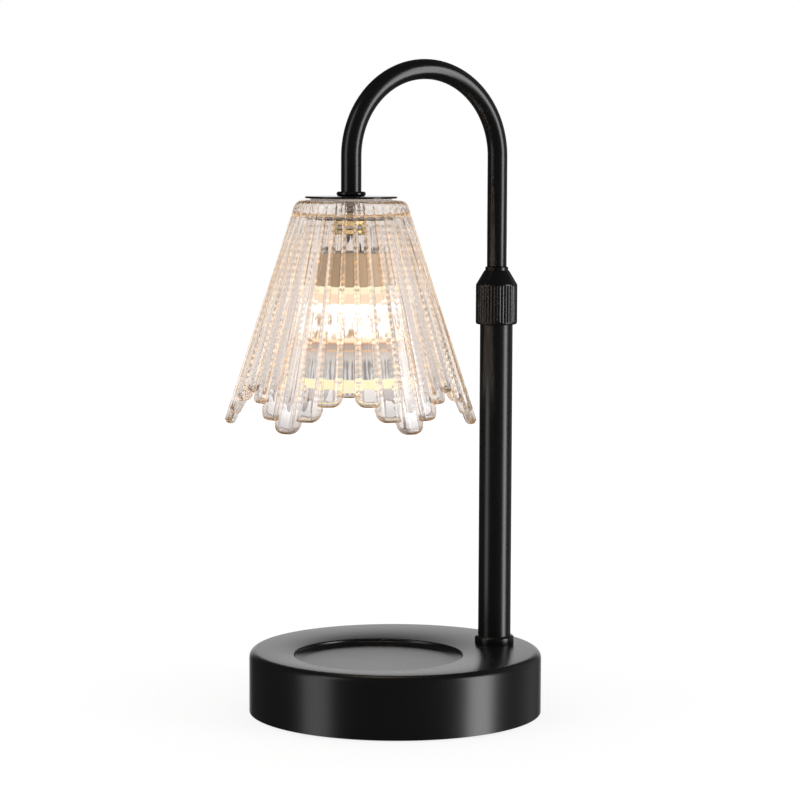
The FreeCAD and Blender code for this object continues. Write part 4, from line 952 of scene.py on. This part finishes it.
# The height of a rod's end is a cubic through TIP_STEPS.
rod_end = rod_steps * (rod_steps * (rod_steps * -0.000617 + 0.0025) + 0.003617) + tip_z
# The petals' lowest rod ends are tinted darker: painted shade for the dark that their rounded
# ends refract.
painted_tip_shade = (height - rod_end).fall(0.003, 0.010) * (1.0 - rod_steps / 3.0)
tint_with_painted_shade = pressed.blend(painted_tip_shade, flank_and_groove_shade, TIP_SHADE_TINT)
glass_sockets = {
    "Base Color": pressed.blend(painted_broken_edge_line, tint_with_painted_shade, EDGE_LINE_SHADE),
    "Roughness": in_groove * 0.16 + 0.01,
    "IOR": 1.5,
    "Transmission Weight": 1.0,
    "Emission Color": painted_bulb_light,
    "Emission Strength": 1.0,
    "Normal": pressed.bump(relief, 0.6, 0.0003),
}
clear = pressed.add("BsdfPrincipled", None, glass_sockets)["BSDF"]
let_through = pressed.add("BsdfTransparent", None, {"Color": rgba(SHADOW_TINT)})["BSDF"]
glass_mix = pressed.mixed(glass_rays["Is Shadow Ray"], clear, let_through)
pressed_glass = pressed.finish(glass_mix)
make_piece("fluted_shade", glass, pressed_glass, "arm", "clear_glass", "glass_shade", sharp=48.0)

# ------------------------------------------------- clamp plate and hex nuts
# Under the glass a thin black plated disc spreads the clamping force. A brass hex
# nut pulls it up, and another holds the lamp holder's bracket.
PLATE_EDGE = 0.0002
NUT_FLATS = 0.014
NUT_CHAMFER = 0.0003
_, plate_radius, plate_low, plate_high = span("clamp_plate")
plate_bore = ARM_RADIUS + FITTING_GAP
plate_profile = [(plate_bore, plate_low), (plate_radius - PLATE_EDGE, plate_low)]
plate_profile += [(plate_radius, plate_low + PLATE_EDGE), (plate_radius, plate_high - PLATE_EDGE)]
plate_profile += [(plate_radius - PLATE_EDGE, plate_high), (plate_bore, plate_high)]
clamp_disc = turned(on_axis(shade_axis, plate_profile), 96)
make_piece("clamp_disc", clamp_disc, gloss_black, "arm", "gloss_black", "clamp_plate")

for hex_name in ("shade_nut", "bracket_nut"):
    hex_low, hex_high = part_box(hex_name)
    hexagon = bmesh.new()
    corner_radius = NUT_FLATS / math.sqrt(3)
    bmesh.ops.create_circle(hexagon, cap_ends=True, segments=6, radius=corner_radius)
    bmesh.ops.translate(hexagon, verts=hexagon.verts, vec=(shade_x, shade_y, hex_low.z))
    underside = list(hexagon.faces)
    sides = bmesh.ops.extrude_face_region(hexagon, geom=underside, use_keep_orig=True)["geom"]
    lift = (0.0, 0.0, hex_high.z - hex_low.z)
    bmesh.ops.translate(hexagon, verts=corners_in(sides), vec=lift)
    bmesh.ops.bevel(
        hexagon, geom=list(hexagon.edges), offset=NUT_CHAMFER, segments=2, profile=0.5,
        affect="EDGES", material=-1,
    )
    make_piece(hex_name + "_hex", hexagon, turned_brass, "arm", "turned_brass", hex_name)

# ---------------------------------------------------- bracket and its screws
# A bridge folded from plated strip hangs under the nut. Two pan-head screws
# through its feet carry the lamp holder.
STRIP = 0.0008
FOOT = 0.0056
LEG_OUTSIDE = 0.0096
FOLD_RADIUS = 0.0012
FOLD_TURN = 1.0
bracket_low, bracket_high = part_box("socket_bracket")
half_leg = LEG_OUTSIDE - STRIP / 2
half_foot = half_leg + FOOT + STRIP / 2
foot_z = bracket_low.z + STRIP / 2
web_z = bracket_high.z - STRIP / 2
strip = bmesh.new()
bends = [(-half_foot, foot_z), (-half_leg, foot_z), (-half_leg, web_z)]
bends += [(half_leg, web_z), (half_leg, foot_z), (half_foot, foot_z)]
strip_line = [strip.verts.new((shade_x + x, bracket_low.y, z)) for x, z in bends]
strip_edges = [strip.edges.new(pair) for pair in zip(strip_line, strip_line[1:])]
draw_out(strip, strip_edges, (0.0, bracket_high.y - bracket_low.y, 0.0))
folds = [edge for edge in strip.edges if edge.calc_face_angle(0.0) > FOLD_TURN]
bmesh.ops.bevel(
    strip, geom=folds, offset=FOLD_RADIUS, segments=4, profile=0.5, affect="EDGES", material=-1
)
bmesh.ops.recalc_face_normals(strip, faces=strip.faces)
bmesh.ops.solidify(strip, geom=list(strip.faces), thickness=STRIP)
shift = bracket_high.z - max(corner.co.z for corner in strip.verts)
bmesh.ops.translate(strip, verts=strip.verts, vec=(0.0, 0.0, shift))
make_piece("holder_bridge", strip, zinc, "arm", "zinc_steel", "socket_bracket")
repaint(zinc, "socket_screws")

# -------------------------------------------------- lamp holder and contacts
# A glazed tan steatite holder, pressed and fired, a little wider at its mouth.
# Two spring contacts sit above its key slots.
HOLDER_TOP_RADIUS = 0.01625
HOLDER_MOUTH_RADIUS = 0.01835
HOLDER_MIDDLE = 0.004
HOLDER_EDGE = 0.0008
POCKET_RADIUS = 0.014
POCKET_DEPTH = 0.006
STEATITE_DEEP = (0.37, 0.267, 0.17)
STEATITE_PALE = (0.47, 0.354, 0.232)
fired_skin = (1800.0, 2.0, 0.3, 0.00006)
steatite = mottled(
    "tan_steatite", (130.0, 4.0), STEATITE_DEEP, STEATITE_PALE, (0.4, 0.15), fired_skin
)
holder_low, holder_high = (corner.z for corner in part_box("lamp_holder"))
holder_top = HOLDER_TOP_RADIUS - HOLDER_EDGE
holder_mouth = HOLDER_MOUTH_RADIUS - HOLDER_EDGE
pocket_z = holder_low + POCKET_DEPTH
holder_profile = [(HOLDER_MIDDLE, holder_high)]
holder_profile += quarter(holder_top, holder_high - HOLDER_EDGE, HOLDER_EDGE, 90, 0, 4)
holder_profile += quarter(holder_mouth, holder_low + HOLDER_EDGE, HOLDER_EDGE, 0, -90, 4)
holder_profile += [(POCKET_RADIUS, holder_low), (POCKET_RADIUS, pocket_z)]
holder_profile += [(HOLDER_MIDDLE, pocket_z)]
holder = turned(on_axis(shade_axis, holder_profile), 96, capped=True)
make_piece("holder_body", holder, steatite, "arm", "tan_ceramic", "lamp_holder")
repaint(turned_brass, "holder_contacts")

# --------------------------------------------------------- holder's wires
# Two silicone-insulated wires, blue and brown, from the gooseneck's end into the
# top of the holder.
BLUES = ((0.02, 0.08, 0.30), (0.03, 0.11, 0.40))
BROWNS = ((0.16, 0.07, 0.03), (0.22, 0.10, 0.045))
repaint(plastic("blue_insulation", *BLUES, 0.35, 0.2), "blue_wire")
repaint(plastic("brown_insulation", *BROWNS, 0.35, 0.2), "brown_wire")

# ------------------------------------------------------------------- bulb
# A twist-in halogen reflector lamp: a ceramic base with two pins, a faceted glass
# reflector, a small capsule with its filament, and a clear front glass.
bulb_ceramic = plastic("bulb_ceramic", (0.72, 0.68, 0.60), (0.80, 0.77, 0.70), 0.45, 0.2)
repaint(bulb_ceramic, "bulb_base")
repaint(zinc, "bulb_pins")

NECK_RADIUS = 0.012
NECK_ROUND = 0.001
SHOULDER_RADIUS = 0.017
MIDDLE_RADIUS = 0.0223
MIDDLE_Z = 0.1863
FRONT_RADIUS = 0.0252
FRONT_EDGE = 0.0005
BULB_RIM = 0.0044
BULB_WALL = 0.0015
BOWL_STEPS = 12
NECK_SWELL = 0.75
FRONT_SWELL = 0.9
bowl_low, neck_z = (corner.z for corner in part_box("bulb_reflector"))
front_z = bowl_low + BULB_RIM
bowl_curve = []
for step in range(1, BOWL_STEPS + 1):
    z = neck_z + (front_z - neck_z) * (step / BOWL_STEPS)
    if z > MIDDLE_Z:
        part = (neck_z - z) / (neck_z - MIDDLE_Z)
        radius = SHOULDER_RADIUS + (MIDDLE_RADIUS - SHOULDER_RADIUS) * part ** NECK_SWELL
    else:
        part = (MIDDLE_Z - z) / (MIDDLE_Z - front_z)
        radius = MIDDLE_RADIUS + (FRONT_RADIUS - MIDDLE_RADIUS) * part ** FRONT_SWELL
    bowl_curve.append((radius, z))
bowl_profile = [(NECK_RADIUS, neck_z), (SHOULDER_RADIUS - NECK_ROUND, neck_z)] + bowl_curve
bowl_profile += [(FRONT_RADIUS, bowl_low + FRONT_EDGE), (FRONT_RADIUS - FRONT_EDGE, bowl_low)]
bowl_profile += [(FRONT_RADIUS - BULB_WALL, bowl_low)]
bowl_profile += [(radius - BULB_WALL, z) for radius, z in reversed(bowl_curve)]
bowl_profile += [(NECK_RADIUS, neck_z - BULB_WALL)]
bowl = turned(on_axis(shade_axis, bowl_profile), 144)

LIT_STRENGTH = 1.45
FACETS = 24
LIT_STOPS = [
    (0.0, (0.83, 0.75, 0.48)),
    (0.090, (0.83, 0.74, 0.46)),
    (0.100, (0.58, 0.59, 0.60)),
    (0.290, (0.50, 0.48, 0.46)),
    (0.370, (0.40, 0.35, 0.32)),
    (0.385, (0.62, 0.38, 0.20)),
    (0.400, (0.36, 0.29, 0.26)),
    (0.440, (0.33, 0.27, 0.24)),
    (0.455, (0.40, 0.21, 0.13)),
    (0.475, (0.92, 0.66, 0.42)),
    (0.550, (1.0, 0.97, 0.93)),
    (0.840, (1.0, 1.0, 1.0)),
    (0.850, (0.78, 0.57, 0.41)),
    (0.935, (0.78, 0.59, 0.43)),
    (0.945, (0.81, 0.73, 0.50)),
    (1.0, (0.81, 0.75, 0.56)),
]
FACET_SHADE = (0.03, 0.03, 0.035)
BEAD_BROWN = (0.42, 0.28, 0.16)
lit, lit_place = new_material("lit_reflector")
lit_parts, lit_bearing = about_shade_axis(lit, lit_place)
lit_height = (lit_parts["Z"] - bowl_low) / (neck_z - bowl_low)
lit_colour = lit.add("ValToRGB", {"stops": LIT_STOPS}, {"Fac": lit_height})["Color"]
facet_place = lit.point(lit_bearing * (FACETS / math.pi), lit_height * 3.0, 0.0)
facets = lit.noise(facet_place, 2.0, 2.0)
facet_lines = (lit_bearing * 60.0 + facets * 9.0).maths("SINE") * 0.5 + 0.5
grey_zone = lit_height.band(0.095, 0.105, 0.26, 0.32)
facet_light = 1.0 - grey_zone * facet_lines * 0.75
lit_faceted = lit.blend(facet_light, FACET_SHADE, lit_colour)
beads = lit.noise(lit.point(lit_bearing * 4.6, lit_height * 6.0, 5.0), 1.0, 1.0)
hot_zone = lit_height.band(0.47, 0.52, 0.68, 0.80)
lit_sockets = {
    "Base Color": lit.blend(facets, (0.03, 0.025, 0.02), (0.05, 0.045, 0.04)),
    "Roughness": facets * 0.1 + 0.08,
    "Emission Color": lit.blend(beads.climb(0.47, 0.60) * hot_zone, lit_faceted, BEAD_BROWN),
    "Emission Strength": LIT_STRENGTH,
    "Normal": lit.bump(facet_lines, 0.4, 0.0004),
}
lit_reflector = lit.surface(lit_sockets)
make_piece("reflector_bowl", bowl, lit_reflector, "bulb", "bulb_glass", "bulb_reflector")

LENS_MIDDLE = 0.008
LENS_EDGE = 0.0004
GLASS_WARM = (1.0, 0.85, 0.6)
GLASS_DIM = (0.9, 0.765, 0.54)
_, lens_radius, lens_low, lens_high = span("bulb_lens")
lens_profile = [(LENS_MIDDLE, lens_low), (lens_radius - LENS_EDGE, lens_low)]
lens_profile += [(lens_radius, lens_low + LENS_EDGE), (lens_radius, lens_high)]
lens_profile += [(LENS_MIDDLE, lens_high)]
front = turned(on_axis(shade_axis, lens_profile), 96, capped=True)


def thin_glass(name, tint, roughness, glow_strength):
    """Clear lamp glass that lets light straight through to what is behind it."""
    made, place = new_material(name)
    rays = made.add("LightPath")
    ripple = made.noise(place, 320.0, 2.0)
    sockets = {
        "Base Color": rgba(tint),
        "Roughness": ripple * 0.04 + roughness,
        "Transmission Weight": 1.0,
        "Emission Color": made.blend(ripple, GLASS_WARM, GLASS_DIM),
        "Emission Strength": glow_strength,
        "Normal": made.bump(ripple, 0.1, 0.0002),
    }
    solid = made.add("BsdfPrincipled", None, sockets)["BSDF"]
    through = made.add("BsdfTransparent", None, {"Color": rgba(tint)})["BSDF"]
    return made.finish(made.mixed(rays["Is Shadow Ray"], solid, through))


lens_glass = thin_glass("lens_glass", (0.97, 0.96, 0.94), 0.03, glow_strength=0.05)
make_piece("front_glass", front, lens_glass, "bulb", "lens_glass", "bulb_lens")
capsule_glass = thin_glass("capsule_glass", (0.98, 0.98, 0.97), 0.01, glow_strength=0.6)
repaint(capsule_glass, "bulb_capsule")

COIL_SCALE = 600.0
FILAMENT_GLOW = 5.0
COIL_DIM = (1.0, 0.55, 0.22)
COIL_BRIGHT = (1.0, 0.82, 0.52)
hot, hot_place = new_material("hot_filament")
coil_sockets = {"Vector": hot_place, "Scale": COIL_SCALE}
coil = hot.add("TexWave", {"bands_direction": "Z"}, coil_sockets)["Fac"]
hot_colour = hot.blend(coil, COIL_DIM, COIL_BRIGHT)
hot_sockets = {"Base Color": hot_colour, "Emission Color": hot_colour}
hot_sockets["Emission Strength"] = FILAMENT_GLOW
repaint(hot.surface(hot_sockets), "bulb_filament")
